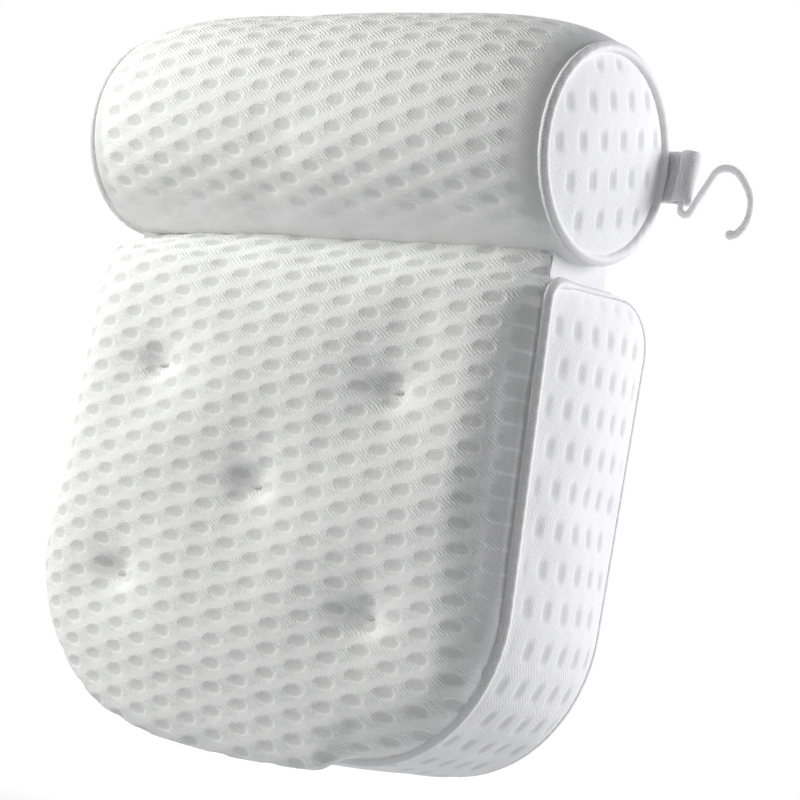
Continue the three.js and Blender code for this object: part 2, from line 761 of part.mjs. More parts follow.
// Webbing loop sewn to the rear edge of the right end disc
function webbing() {
  const bore = wireRadius + gap + webbingSlack;
  const wrap = bore + webbingPly;
  const throat = Math.asin(webbingHalf / wrap);
  const shape = new THREE.Shape();
  shape.absarc(webbingRoot.x, webbingRoot.y, webbingHalf, Math.PI / 2, (Math.PI * 3) / 2, false);
  shape.absarc(barX, webbingRoot.y, wrap, -Math.PI + throat, Math.PI - throat, false);
  const eye = new THREE.Path();
  eye.absarc(barX, webbingRoot.y, bore, 0, Math.PI * 2, true);
  shape.holes.push(eye);
  const settings = { depth: webbingWidth, bevelEnabled: false, curveSegments: bendSteps };
  const strip = new THREE.ExtrudeGeometry(shape, settings);
  strip.translate(0, 0, webbingRoot.z - webbingWidth / 2);
  return piece('hook_webbing', weld(strip), 'cord');
}

// Ball at an end of the hook's wire
function wireBall(middle, radius) {
  const ball = new THREE.IcosahedronGeometry(radius, 1);
  ball.translate(middle.x, middle.y, middle.z);
  return solid(ball);
}

// Wire hook: a stem with a ball end inside the webbing loop, a turn below it and a hook that opens downwards
function hook() {
  const at = (dx, dz) => new THREE.Vector3(barX + dx, webbingRoot.y, webbingRoot.z + dz);
  const stemTop = webbingWidth / 2 - stemBallRadius - 2 * gap;
  const stemFoot = -webbingWidth / 2 - gap - wireRadius;
  const points = [
    at(0, stemTop),
    at(0, stemTop / 2),
    at(0, 0),
    at(0, stemFoot / 2),
    at(0, stemFoot),
    at(stemTurn * 0.3, stemFoot - stemTurn * 0.75),
    at(stemTurn, stemFoot - stemTurn),
    at(stemTurn * 1.85, stemFoot - stemTurn * 0.55),
    at(stemTurn * 2.8, stemFoot * 0.7),
    at(hookReach * 0.34, -hookTop * 0.25),
    at(hookReach * 0.42, hookTop * 0.7),
    at(hookReach * 0.54, hookTop),
    at(hookReach * 0.7, hookTop * 0.72),
    at(hookReach * 0.85, -hookTop * 0.22),
    at(hookReach * 0.97, -hookDrop * 0.31),
    at(hookReach, -hookDrop * 0.57),
    at(hookReach * 0.96, -hookDrop * 0.81),
    at(hookReach * 0.87, -hookDrop * 0.97),
    at(hookReach * 0.78, -hookDrop),
  ];
  const circle = new THREE.Shape();
  circle.absarc(0, 0, wireRadius, 0, Math.PI * 2, false);
  const path = new THREE.CatmullRomCurve3(points);
  const settings = { steps: wireSteps, extrudePath: path, curveSegments: wireSides / 2 };
  const wire = solid(new THREE.ExtrudeGeometry(circle, settings));
  const stemBall = wireBall(points[0], stemBallRadius);
  const hookBall = wireBall(points[points.length - 1], hookBallRadius);
  return piece('hook', surface(wire.add(stemBall).add(hookBall)), 'plastic');
}

const pillow = new THREE.Group();
pillow.name = 'bath_pillow';
pillow.add(...padFront());
pillow.add(padCore());
pillow.add(gusset());
const pipingMeeting = (frontShoulder.x + rearLine) / 2;
pillow.add(padPiping('piping_front', frontRun(0), pipingMeeting - gap / 2));
pillow.add(padPiping('piping_back', rearRun(0), pipingMeeting + gap / 2));
pillow.add(topPanel());
pillow.add(backPanel());
pillow.add(...cupSites.map((site, i) => eyelet(i, site)));
pillow.add(...cupSites.map((site, i) => suctionCup(i, site)));
pillow.add(...rollBody());
pillow.add(...rollEnd(1, 'right'));
pillow.add(...rollEnd(-1, 'left'));
pillow.add(neck());
pillow.add(webbing());
pillow.add(hook());

export default pillow;
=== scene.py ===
"""Bath pillow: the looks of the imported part.

A white spacer-mesh pillow for a bath tub: a barrel neck roll with piped end discs, sewn above a
tufted box cushion, with suction cups behind and a wire hook on a webbing loop. All lengths are
metres in the part's own frame: X to the right seen from the front, Y towards the wall, Z up.
"""
import logging
import math
from dataclasses import dataclass
from enum import Enum

import bpy
import numpy as np
from mathutils import Matrix, Vector


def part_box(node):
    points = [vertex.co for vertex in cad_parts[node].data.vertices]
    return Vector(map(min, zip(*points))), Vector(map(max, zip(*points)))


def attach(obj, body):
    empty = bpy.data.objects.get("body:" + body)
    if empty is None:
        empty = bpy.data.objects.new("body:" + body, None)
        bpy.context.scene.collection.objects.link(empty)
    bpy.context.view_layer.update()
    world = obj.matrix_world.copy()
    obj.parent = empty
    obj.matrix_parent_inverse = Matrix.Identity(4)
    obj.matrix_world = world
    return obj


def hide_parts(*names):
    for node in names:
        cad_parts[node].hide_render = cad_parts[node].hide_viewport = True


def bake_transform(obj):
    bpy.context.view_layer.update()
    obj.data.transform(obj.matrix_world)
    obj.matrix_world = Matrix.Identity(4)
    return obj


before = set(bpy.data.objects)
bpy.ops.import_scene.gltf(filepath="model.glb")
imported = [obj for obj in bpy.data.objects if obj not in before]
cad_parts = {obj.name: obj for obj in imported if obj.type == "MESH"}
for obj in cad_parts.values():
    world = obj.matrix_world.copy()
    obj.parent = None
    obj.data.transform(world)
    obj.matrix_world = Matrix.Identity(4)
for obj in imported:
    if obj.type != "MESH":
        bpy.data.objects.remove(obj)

Array = np.ndarray
Pair = tuple[float, float]
Triple = tuple[float, float, float]
Colour = tuple[float, float, float, float]
Sites = tuple[Pair, ...]
LOG = logging.getLogger("bath_pillow")
FULL_TURN = 2.0 * math.pi
FORWARD = np.array([0.0, -1.0, 0.0])
SHEET_WALL = 0.003
SHARP_CLOTH, SHARP_PLASTIC = 70.0, 50.0


# Curves and grids

def smooth(start: float, end: float, value: Array) -> Array:
    """Smooth step of a value, from 0 at start to 1 at end."""
    share = np.clip((value - start) / (end - start), 0.0, 1.0)
    return share * share * (3.0 - 2.0 * share)


def turns(count: int) -> Array:
    """Even angles round a full turn in one column, with the first place again at the end."""
    return (np.arange(count + 1) * FULL_TURN / count)[:, None]


def unit(vectors: Array) -> Array:
    """Vectors brought to the length of one."""
    return vectors / np.linalg.norm(vectors, axis=-1, keepdims=True).clip(1e-12)


def steps_in(count: int) -> Array:
    """Steps from each place of a row to its nearer end."""
    return np.minimum(np.arange(count), np.arange(count)[::-1])


def rim_steps(rows: int, columns: int) -> Array:
    """Steps from each place of a grid to its nearest edge."""
    return np.minimum(steps_in(rows)[:, None], steps_in(columns)[None, :])


def lengths(points: Array, axis: int = 0) -> Array:
    """Length along a polyline, or along a grid's lines in one direction, up to each point."""
    step = np.linalg.norm(np.diff(points, axis=axis), axis=-1)
    first = np.zeros_like(np.take(step, [0], axis=axis))
    return np.concatenate([first, np.cumsum(step, axis=axis)], axis=axis)


def resample(path: Array, shares: Array) -> Array:
    """Points at given shares of a polyline's length; columns after the third are carried along."""
    along = lengths(path[:, :3])
    return np.stack([np.interp(shares * along[-1], along, column) for column in path.T], axis=1)


def spline_matrix(coarse: int, fine: int, closed: bool) -> Array:
    """Matrix that takes values at coarse points to fine points of a Catmull-Rom spline.

    Each fine value is the cubic blend of its four nearest coarse ones. Past an open end the
    spline goes straight on, so the missing value is twice the end less its neighbour.

    Args:
        coarse: Number of coarse points.
        fine: Number of fine points.
        closed: Whether the last point joins the first.

    Returns:
        Weights, fine by coarse.
    """
    place = np.arange(fine) * coarse / fine if closed else np.linspace(0.0, coarse - 1.0, fine)
    base = np.floor(place).astype(int)
    base = base if closed else np.minimum(base, coarse - 2)
    f = place - base
    blend = np.stack([
        -0.5 * f + f * f - 0.5 * f ** 3,
        1.0 - 2.5 * f * f + 1.5 * f ** 3,
        0.5 * f + 2.0 * f * f - 1.5 * f ** 3,
        -0.5 * f * f + 0.5 * f ** 3,
    ])
    weights = np.zeros((fine, coarse + 2))
    for step in range(4):
        spot = (base + step - 1) % coarse + 1 if closed else base + step
        np.add.at(weights, (np.arange(fine), spot), blend[step])
    inner = weights[:, 1:-1]
    if not closed:
        for end, beside in ((0, 1), (-1, -2)):
            inner[:, end] += 2.0 * weights[:, end]
            inner[:, beside] -= weights[:, end]
    return inner


def refined(values: Array, rows: int, columns: int, closed: bool = False) -> Array:
    """A grid worked out finer along splines in both directions.

    Args:
        values: Coarse grid, rows by columns by coordinates.
        rows: Fine rows.
        columns: Fine columns.
        closed: Whether the last row joins the first.

    Returns:
        The fine grid.
    """
    down = spline_matrix(values.shape[0], rows, closed)
    across = spline_matrix(values.shape[1], columns, False)
    return np.einsum("ra,abk,cb->rck", down, values, across, optimize=True)


def coons(bottom: Array, top: Array, left: Array, right: Array, u: Array, v: Array) -> Array:
    """Patch between four edges: the two ruled surfaces added, less the bilinear one of the corners.

    Args:
        bottom, top: Points along the first and the last row.
        left, right: Points along the first and the last column.
        u, v: Shares across, one for each column, and up, one for each row.

    Returns:
        Grid of points, rows by columns.
    """
    across, up = u[None, :, None], v[:, None, None]
    lengthwise = (1.0 - up) * bottom[None] + up * top[None]
    crosswise = (1.0 - across) * left[:, None] + across * right[:, None]
    low = (1.0 - across) * bottom[0] + across * bottom[-1]
    high = (1.0 - across) * top[0] + across * top[-1]
    return lengthwise + crosswise - (1.0 - up) * low - up * high


def sunk(points: Array, depth: Array, closed: bool = False) -> Array:
    """Grid moved in by a depth along its normals: the step across crossed with the one along rows."""
    along = np.gradient(points, axis=0)
    if closed:
        along = np.roll(points, -1, axis=0) - np.roll(points, 1, axis=0)
    normal = unit(np.cross(np.gradient(points, axis=1), along))
    return points - normal * depth[..., None]


def rounded(profile: Array, passes: int = 3, closed: bool = False) -> Array:
    """Profile with its corners cut: each pass keeps points at a quarter and three quarters of a side.

    Args:
        profile: Points of the profile.
        passes: Number of passes.
        closed: Whether the profile closes.

    Returns:
        The smoother profile, with the same ends where it is open.
    """
    for _ in range(passes):
        after = np.roll(profile, -1, axis=0) if closed else profile[1:]
        before = profile if closed else profile[:-1]
        cut = np.stack([0.75 * before + 0.25 * after, 0.25 * before + 0.75 * after], axis=1)
        cut = cut.reshape(-1, profile.shape[1])
        profile = cut if closed else np.concatenate([profile[:1], cut[1:-1], profile[-1:]])
    return profile


class Cap(Enum):
    """How the open edges of a grid are closed."""

    NONE = "left open"
    FLAT = "one flat face on each open edge"


@dataclass
class Surface:
    """A grid surface with what its finish reads.

    points is rows by columns by three. weave holds cloth coordinates, with one row more than
    points where the rows close, and one column more where the columns close. hollow is 1 at the
    bottom of a mesh hollow, where the mesh's finish greys it as painted shade; on a cord it says
    how much painted shade greys its middle. stitch is 1 where the cloth's stitches show in full.
    closed joins the last row to the first and ring the last column.
    """

    points: Array
    weave: Array | None = None
    hollow: Array | float = 0.0
    stitch: Array | float = 1.0
    closed: bool = False
    ring: bool = False
    cap: Cap = Cap.FLAT

    def numbers(self) -> Array:
        """Vertex numbers by row and column."""
        rows, columns = self.points.shape[:2]
        return np.arange(rows * columns).reshape(rows, columns)

    def corners(self, values: Array) -> Array:
        """Values at the four corners of each cell, in the order of a face that looks outwards."""
        cells = [values[:-1, :-1], values[:-1, 1:], values[1:, 1:], values[1:, :-1]]
        return np.stack(cells, axis=2).reshape(-1, 4, *values.shape[2:])

    def quads(self) -> Array:
        """Four vertex numbers for each cell, with the first ones again where the grid closes."""
        number = self.numbers()
        if self.closed:
            number = np.concatenate([number, number[:1]], axis=0)
        if self.ring:
            number = np.concatenate([number, number[:, :1]], axis=1)
        return self.corners(number)

    def caps(self) -> list[list[int]]:
        """Faces that close the open edges."""
        if self.cap is Cap.NONE or self.ring:
            return []
        number = self.numbers()
        if self.closed:
            return [number[:, 0].tolist(), number[::-1, -1].tolist()]
        loop = [number[0, :], number[1:, -1], number[-1, -2::-1], number[-2:0:-1, 0]]
        return [np.concatenate(loop)[::-1].tolist()]


def mesh_object(name: str, surfaces: list[Surface], sharp: float = SHARP_CLOTH) -> bpy.types.Object:
    """Object of one or more grid surfaces, with its weave map and its hollow and stitch attributes.

    Args:
        name: Name of the piece.
        surfaces: The grids that make it.
        sharp: Angle in degrees past which an edge is drawn sharp.

    Returns:
        The object, at the origin.
    """
    points, faces, maps, start = [], [], [], 0
    marks: dict[str, list[Array]] = {"hollow": [], "stitch": []}
    for surface in surfaces:
        quads, caps = surface.quads(), surface.caps()
        points.append(surface.points.reshape(-1, 3))
        faces.extend((quads + start).tolist() + [[vertex + start for vertex in cap] for cap in caps])
        plain = np.zeros((quads.size, 2))
        maps.append(plain if surface.weave is None else surface.corners(surface.weave).reshape(-1, 2))
        maps.append(np.zeros((sum(map(len, caps)), 2)))
        for label, values in marks.items():
            values.append(np.broadcast_to(getattr(surface, label), surface.points.shape[:2]).ravel())
        start += len(points[-1])
    mesh = bpy.data.meshes.new(name)
    mesh.from_pydata(np.concatenate(points).tolist(), [], faces)
    mesh.uv_layers.new(name="weave").data.foreach_set("uv", np.concatenate(maps).ravel())
    for label, values in marks.items():
        mesh.attributes.new(label, "FLOAT", "POINT").data.foreach_set("value", np.concatenate(values))
    mesh.shade_smooth()
    mesh.set_sharp_from_angle(angle=math.radians(sharp))
    made = bpy.data.objects.new(name, mesh)
    bpy.context.scene.collection.objects.link(made)
    return made


def tube(path: Array, guide: Array, radius: Array, sides: int, ring: bool = False) -> Surface:
    """Round profile carried along a path.

    At each point the circle lies in the plane of the guide and of the guide crossed with the
    path's direction. The weave map holds the length along the path and the length around.

    Args:
        path: Points of the middle line.
        guide: Unit vectors square to the path.
        radius: Radius, by side and by point of the path, or one number.
        sides: Points round the circle.
        ring: Whether the path closes.

    Returns:
        The surface, closed around.
    """
    run = np.gradient(path, axis=0)
    if ring:
        run = np.roll(path, -1, axis=0) - np.roll(path, 1, axis=0)
    run = unit(run)
    side = unit(np.cross(guide, run))
    turn = turns(sides)[:-1, :, None]
    reach = np.broadcast_to(radius, (sides, len(path)))[..., None]
    points = path[None] + reach * (np.cos(turn) * np.cross(run, side) + np.sin(turn) * side)
    along = lengths(np.concatenate([path, path[:1]]) if ring else path)
    around = turns(sides)[:, 0] * float(np.mean(radius))
    return Surface(points, np.stack(np.meshgrid(along, around), axis=2), closed=True, ring=ring)


def lathe(profile: Array, middle: Pair, sides: int, ring: bool = False) -> Surface:
    """Profile turned round an axis along Y.

    A point of the surface is the middle, plus the profile's radius times the direction of the
    angle in the X and Z plane, at the profile's depth.

    Args:
        profile: Radius and depth of each point, with the outside on the side of growing radius
            where the depth grows.
        middle: X and Z of the axis.
        sides: Points round the axis.
        ring: Whether the profile closes.

    Returns:
        The surface, closed around.
    """
    turn = turns(sides)[:-1]
    x = middle[0] + profile[None, :, 0] * np.cos(turn)
    z = middle[1] + profile[None, :, 0] * np.sin(turn)
    y = np.broadcast_to(profile[None, :, 1], x.shape)
    return Surface(np.stack([x, y, z], axis=2), closed=True, ring=ring)


@dataclass(frozen=True)
class Stuffing:
    """How hard the filling presses on a panel of cloth while its seams hold it."""

    pressure: float = 3.0
    most: float = 0.0015
    slack: float = 0.008
    steps: int = 18
    calming: int = 4

    def swell(self, points: Array, held: Array, closed: bool = False) -> Array:
        """Lets a panel swell as cloth under pressure, with its held points fixed.

        The swollen points are the cloth's after the last step, each moved back along its way
        where it went further than the most. The wadding evens out the moves: a few times each
        free point takes the mean of its own move, counted double, and of those beside it.

        Args:
            points: Coarse grid of the panel.
            held: Grid of truth values, true where a seam or a tuft holds the cloth.
            closed: Whether the last row joins the first.

        Returns:
            The swollen grid.
        """
        trial = mesh_object("swelling_panel", [Surface(points, closed=closed, cap=Cap.NONE)])
        group = trial.vertex_groups.new(name="held")
        group.add(np.flatnonzero(held.ravel()).tolist(), 1.0, "REPLACE")
        cloth = trial.modifiers.new("cloth", "CLOTH")
        wanted = {
            "quality": 6, "mass": 0.3, "tension_stiffness": 12.0, "compression_stiffness": 12.0,
            "bending_stiffness": 8.0, "vertex_group_mass": "held", "use_pressure": True,
            "uniform_pressure_force": self.pressure, "shrink_min": -self.slack,
        }
        for name, value in wanted.items():
            setattr(cloth.settings, name, value)
        cloth.settings.effector_weights.gravity = 0.0
        cloth.collision_settings.use_collision = False
        cloth.point_cache.frame_start = 1
        cloth.point_cache.frame_end = self.steps
        scene = bpy.context.scene
        for step in range(1, self.steps + 1):
            scene.frame_set(step)
        mesh = trial.evaluated_get(bpy.context.evaluated_depsgraph_get()).data
        swollen = np.empty(points.size)
        mesh.vertices.foreach_get("co", swollen)
        scene.frame_set(1)
        bpy.data.objects.remove(trial)
        move = swollen.reshape(points.shape) - points
        far = np.linalg.norm(move, axis=2, keepdims=True)
        LOG.info("swelling: up to %.1f mm", far.max() * 1000.0)
        move = move * np.minimum(1.0, self.most / far.clip(1e-9))
        for _ in range(self.calming):
            wide = np.pad(move, ((1, 1), (0, 0), (0, 0)), mode="wrap" if closed else "edge")
            move = 0.25 * (wide[:-2] + 2.0 * move + wide[2:])
            wide = np.pad(move, ((0, 0), (1, 1), (0, 0)), mode="edge")
            move = 0.25 * (wide[:, :-2] + 2.0 * move + wide[:, 2:])
            move[held] = 0.0
        return points + move


# Finishes

@dataclass
class Value:
    """A number or a colour that nodes work out, with the sums that it takes part in."""

    nodes: "Nodes"
    socket: bpy.types.NodeSocket

    def __add__(self, other: "Value | float") -> "Value":
        """Sum of two values."""
        return self.nodes.sum("ADD", self, other)

    def __sub__(self, other: "Value | float") -> "Value":
        """Difference of two values."""
        return self.nodes.sum("SUBTRACT", self, other)

    def __mul__(self, other: "Value | float") -> "Value":
        """Product of two values."""
        return self.nodes.sum("MULTIPLY", self, other)

    def wave(self, pitch: float) -> "Value":
        """Sine wave of the value, with a pitch in the value's own unit."""
        return self.nodes.sum("SINE", self * (FULL_TURN / pitch))

    def ramp(self, low: float, high: float, first: float = 0.0, last: float = 1.0) -> "Value":
        """Smooth step of the value between two places, from first to last."""
        node = self.nodes.node("ShaderNodeMapRange", {"interpolation_type": "SMOOTHSTEP"})
        for socket, entry in zip(node.inputs, (self, low, high, first, last)):
            self.nodes.put(socket, entry)
        return Value(self.nodes, node.outputs[0])


@dataclass
class Nodes:
    """Short-hand for the nodes of a material or of the world."""

    tree: bpy.types.NodeTree

    def put(self, socket: bpy.types.NodeSocket, entry: object) -> None:
        """Links a value into a socket, or sets the socket to a constant."""
        if isinstance(entry, Value):
            self.tree.links.new(entry.socket, socket)
        else:
            socket.default_value = entry

    def node(self, kind: str, options: dict[str, object] | None = None, **inputs: object) -> bpy.types.Node:
        """Adds a node.

        Args:
            kind: Type of the node.
            options: The node's own settings.
            inputs: Values or constants, by input name with underscores for spaces.

        Returns:
            The node.
        """
        made = self.tree.nodes.new(kind)
        for name, entry in (options or {}).items():
            setattr(made, name, entry)
        for name, entry in inputs.items():
            self.put(made.inputs[name.replace("_", " ")], entry)
        return made

    def sum(self, operation: str, *entries: object) -> Value:
        """Result of a sum on values and constants."""
        node = self.node("ShaderNodeMath", {"operation": operation})
        for socket, entry in zip(node.inputs, entries):
            self.put(socket, entry)
        return Value(self, node.outputs[0])

    def mix(self, share: Value, first: object, second: object) -> Value:
        """Mix of two colours."""
        node = self.node("ShaderNodeMix", {"data_type": "RGBA", "blend_type": "MIX"})
        for number, entry in ((0, share), (6, first), (7, second)):
            self.put(node.inputs[number], entry)
        return Value(self, node.outputs[2])

    def mark(self, name: str) -> Value:
        """An attribute of the piece."""
        return Value(self, self.node("ShaderNodeAttribute", {"attribute_name": name}).outputs["Fac"])

    def weave(self) -> tuple[Value, Value]:
        """The two cloth coordinates in millimetres."""
        place = Value(self, self.node("ShaderNodeUVMap", {"uv_map": "weave"}).outputs[0])
        split = self.node("ShaderNodeSeparateXYZ", Vector=place)
        return Value(self, split.outputs[0]) * 1000.0, Value(self, split.outputs[1]) * 1000.0

    def place(self) -> Value:
        """Place in the piece's own frame."""
        return Value(self, self.node("ShaderNodeTexCoord").outputs["Object"])

    def noise(self, scale: float, detail: float = 2.0) -> Value:
        """Noise on the piece's own place, with a scale in waves to the metre."""
        node = self.node("ShaderNodeTexNoise", Vector=self.place(), Scale=scale, Detail=detail)
        return Value(self, node.outputs[0])


class Shader(Nodes):
    """The nodes of one finish, round its principled shader."""

    def __init__(self, name: str) -> None:
        """Starts a material."""
        self.material = bpy.data.materials.new(f"{name}_finish")
        self.material.use_nodes = True
        super().__init__(self.material.node_tree)

    def fix(self, **inputs: object) -> bpy.types.Material:
        """Sets or links the principled shader's inputs, and hands over the material."""
        skin = self.tree.nodes["Principled BSDF"]
        for name, entry in inputs.items():
            self.put(skin.inputs[name.replace("_", " ")], entry)
        return self.material

    def relief(self, height: Value, distance: float, strength: float = 1.0) -> Value:
        """Normals of a relief, with its height in metres."""
        node = self.node("ShaderNodeBump", Height=height, Distance=distance, Strength=strength)
        return Value(self, node.outputs[0])


CLOUDY = {"Subsurface_Weight": 1.0, "Subsurface_Radius": (1.0, 1.0, 1.0), "Subsurface_Scale": 0.004}


@dataclass(frozen=True)
class SpacerMesh:
    """White three-dimensional air mesh: knitted bands of slanting stitches between smooth patches, with
    painted shade in its hollows and in the cells along seams.
    """

    white: Colour = (0.90, 0.903, 0.90, 1.0)
    shade: Colour = (0.52, 0.525, 0.52, 1.0)
    band_pitch: float = 12.0
    band_angle: float = math.radians(19.0)
    stitch_pitch: float = 1.75
    relief: float = 0.0003

    def material(self) -> bpy.types.Material:
        """Material whose stitches follow the weave map, with painted shade that greys the hollows and, darker
        still, the cells along seams.
        """
        shader = Shader("spacer_mesh")
        along, across = shader.weave()
        c, s = math.cos(self.band_angle), math.sin(self.band_angle)
        p, q = along * c + across * s, across * c - along * s
        turn = shader.sum("FRACT", q * (1.0 / self.band_pitch) + 0.5) - 0.5
        band = shader.sum("ABSOLUTE", turn).ramp(0.2, 0.42, 1.0, 0.3)
        fine, coarse = shader.noise(900.0, 3.0), shader.noise(330.0)
        slant = p * 0.82 + q * 0.57 + coarse * 2.2
        ribs = (slant.wave(self.stitch_pitch) * 0.5 + 0.5) * band
        hollow = shader.mark("hollow")
        plain = hollow.ramp(0.05, 0.5, 1.0, 0.3) * shader.mark("stitch")
        # Painted shade: grey in the hollows with ragged edges, and more grey in the seam cells where the
        # hollow value passes 1.
        ragged = hollow + (coarse - 0.5) * 0.45
        painted_shade = ragged.ramp(0.05, 0.9, 0.0, 0.56) + hollow.ramp(1.0, 1.5, 0.0, 0.3)
        groove = (band - ribs) * (plain * 0.17)
        speck = fine.ramp(0.35, 0.65, 1.0, 0.0) * 0.11
        cloth = shader.mix(painted_shade, self.white, self.shade)
        return shader.fix(
            Base_Color=shader.mix(groove + speck, cloth, self.shade), Roughness=fine * 0.12 + 0.82,
            Normal=shader.relief((ribs + fine * 0.9) * plain, self.relief),
            Sheen_Weight=0.08, Sheen_Roughness=0.6, Specular_IOR_Level=0.2)


@dataclass(frozen=True)
class PipingCord:
    """Folded tape over a thin cord: two light edges with a rough twisted middle, greyed in the groove as
    painted shade.
    """

    white: Colour = (0.91, 0.91, 0.91, 1.0)
    shade: Colour = (0.48, 0.485, 0.49, 1.0)
    pitch: float = 2.2
    radius: float = 2.8
    face: float = 0.85

    def material(self) -> bpy.types.Material:
        """Material with slanting threads along the cord, and painted shade that greys its middle by the
        hollow value.
        """
        shader = Shader("piping_cord")
        along, around = shader.weave()
        thread = (around * 0.9 + along).wave(self.pitch) * 0.5 + 0.5
        fine = shader.noise(1500.0, 3.0)
        height = thread * 0.4 + fine
        # Painted shade: grey round the groove's angle, face, broken by the threads' strokes and scaled by
        # each cord's hollow value.
        outer = shader.sum("COSINE", around * (1.0 / self.radius) - self.face).ramp(0.5, 0.88)
        strokes = height.ramp(0.4, 1.0, 0.85, 0.5)
        dark = strokes * shader.mark("hollow") * (outer * 0.9 + 0.05)
        return shader.fix(
            Base_Color=shader.mix(dark, self.white, self.shade), Roughness=fine * 0.1 + 0.7,
            Normal=shader.relief(height, 0.00018),
            Sheen_Weight=0.1, Sheen_Roughness=0.5, Specular_IOR_Level=0.3)


@dataclass(frozen=True)
class TuftThread:
    """Polyester thread of the bar tacks."""

    white: Colour = (0.88, 0.88, 0.87, 1.0)
    shade: Colour = (0.66, 0.66, 0.66, 1.0)
    pitch: float = FULL_TURN / 9.0

    def material(self) -> bpy.types.Material:
        """Material with the twist of two plies along the thread."""
        shader = Shader("tuft_thread")
        along, around = shader.weave()
        ply = (around * 1.1 + along).wave(self.pitch) * 0.5 + 0.5
        dark = ply.ramp(0.0, 0.5, 1.0, 0.0) * 0.5
        return shader.fix(
            Base_Color=shader.mix(dark, self.white, self.shade), Roughness=ply * -0.1 + 0.6,
            Normal=shader.relief(ply, 0.0001), Sheen_Weight=0.1, Specular_IOR_Level=0.35)


@dataclass(frozen=True)
class Webbing:
    """White woven tape with fine cross ribs."""

    white: Colour = (0.93, 0.93, 0.94, 1.0)
    shade: Colour = (0.76, 0.76, 0.78, 1.0)
    rib_pitch: float = 1.5
    yarn_pitch: float = 1.1

    def material(self) -> bpy.types.Material:
        """Material with ribs across the tape and yarns along it."""
        shader = Shader("webbing")
        along, across = shader.weave()
        basket = along.wave(self.rib_pitch) * across.wave(self.yarn_pitch) * 0.5 + 0.5
        fine = shader.noise(1300.0)
        height = basket + fine * 0.4
        dark = height.ramp(0.1, 0.7, 1.0, 0.0) * 0.6
        return shader.fix(
            Base_Color=shader.mix(dark, self.white, self.shade), Roughness=fine * 0.1 + 0.75,
            Normal=shader.relief(height, 0.0003),
            Sheen_Weight=0.12, Sheen_Roughness=0.5, Specular_IOR_Level=0.3, **CLOUDY)


@dataclass(frozen=True)
class Foam:
    """Open-cell cushion foam, slightly cream."""

    light: Colour = (0.86, 0.84, 0.76, 1.0)
    pore: Colour = (0.62, 0.59, 0.5, 1.0)

    def material(self) -> bpy.types.Material:
        """Material with pores of about a millimetre."""
        shader = Shader("foam")
        node = shader.node("ShaderNodeTexVoronoi", Vector=shader.place(), Scale=900.0)
        cells = Value(shader, node.outputs[0])
        pores = cells.ramp(0.15, 0.6, 1.0, 0.0)
        return shader.fix(
            Base_Color=shader.mix(pores, self.light, self.pore), Roughness=pores * 0.1 + 0.85,
            Normal=shader.relief(cells, 0.0005), Specular_IOR_Level=0.2)


@dataclass(frozen=True)
class ClearVinyl:
    """Clear soft vinyl of the suction cups, with a faint milky haze."""

    tint: Colour = (0.93, 0.95, 0.96, 1.0)
    haze: Colour = (0.82, 0.86, 0.88, 1.0)

    def material(self) -> bpy.types.Material:
        """Material that lets light through, with a slightly wavy moulded skin."""
        shader = Shader("clear_vinyl")
        cloud = shader.noise(60.0).ramp(0.3, 0.7)
        return shader.fix(
            Base_Color=shader.mix(cloud, self.tint, self.haze), Roughness=cloud * 0.12 + 0.16,
            Normal=shader.relief(shader.noise(240.0, 1.0), 0.0002, 0.4),
            IOR=1.5, Transmission_Weight=0.82)


@dataclass(frozen=True)
class WhitePlastic:
    """Moulded or coated white plastic with a soft shine."""

    white: Colour = (0.92, 0.92, 0.92, 1.0)
    worn: Colour = (0.85, 0.85, 0.845, 1.0)

    def material(self) -> bpy.types.Material:
        """Material with faint flow marks and small scuffs."""
        shader = Shader("white_plastic")
        marks = shader.noise(120.0, 4.0).ramp(0.45, 0.75)
        return shader.fix(
            Base_Color=shader.mix(marks, self.white, self.worn), Roughness=marks * 0.15 + 0.32,
            Normal=shader.relief(shader.noise(800.0), 0.00004),
            Specular_IOR_Level=0.5, Coat_Weight=0.1, Coat_Roughness=0.2, **CLOUDY)


class Slot(Enum):
    """The record's material slots, with the finish of each."""

    SPACER_MESH = SpacerMesh()
    PIPING_CORD = PipingCord()
    TUFT_THREAD = TuftThread()
    WEBBING = Webbing()
    FOAM = Foam()
    CLEAR_VINYL = ClearVinyl()
    WHITE_PLASTIC = WhitePlastic()

    def wear(self, piece: bpy.types.Object) -> None:
        """Puts the finish on a piece."""
        name = self.name.lower()
        material = bpy.data.materials.get(f"{name}_finish") or self.value.material()
        piece.data.materials.clear()
        piece.data.materials.append(material)


def finish_piece(
        piece: bpy.types.Object, slot: Slot, body: str | None, nodes: list[str],
        wall: float = 0.0) -> None:
    """Dresses a piece, hangs it on its body and lets it stand for its solids.

    Args:
        piece: The piece.
        slot: Its finish.
        body: Body that carries it, or none where it blends between two.
        nodes: Solids that it stands for.
        wall: Thickness on the inner side, where it is an open sheet.
    """
    if wall:
        inner = piece.modifiers.new("wall", "SOLIDIFY")
        inner.thickness, inner.offset, inner.use_rim = wall, -1.0, True
    slot.wear(piece)
    if body is not None:
        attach(piece, body)
    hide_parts(*nodes)
    LOG.info("%s: %d faces", piece.name, len(piece.data.polygons))


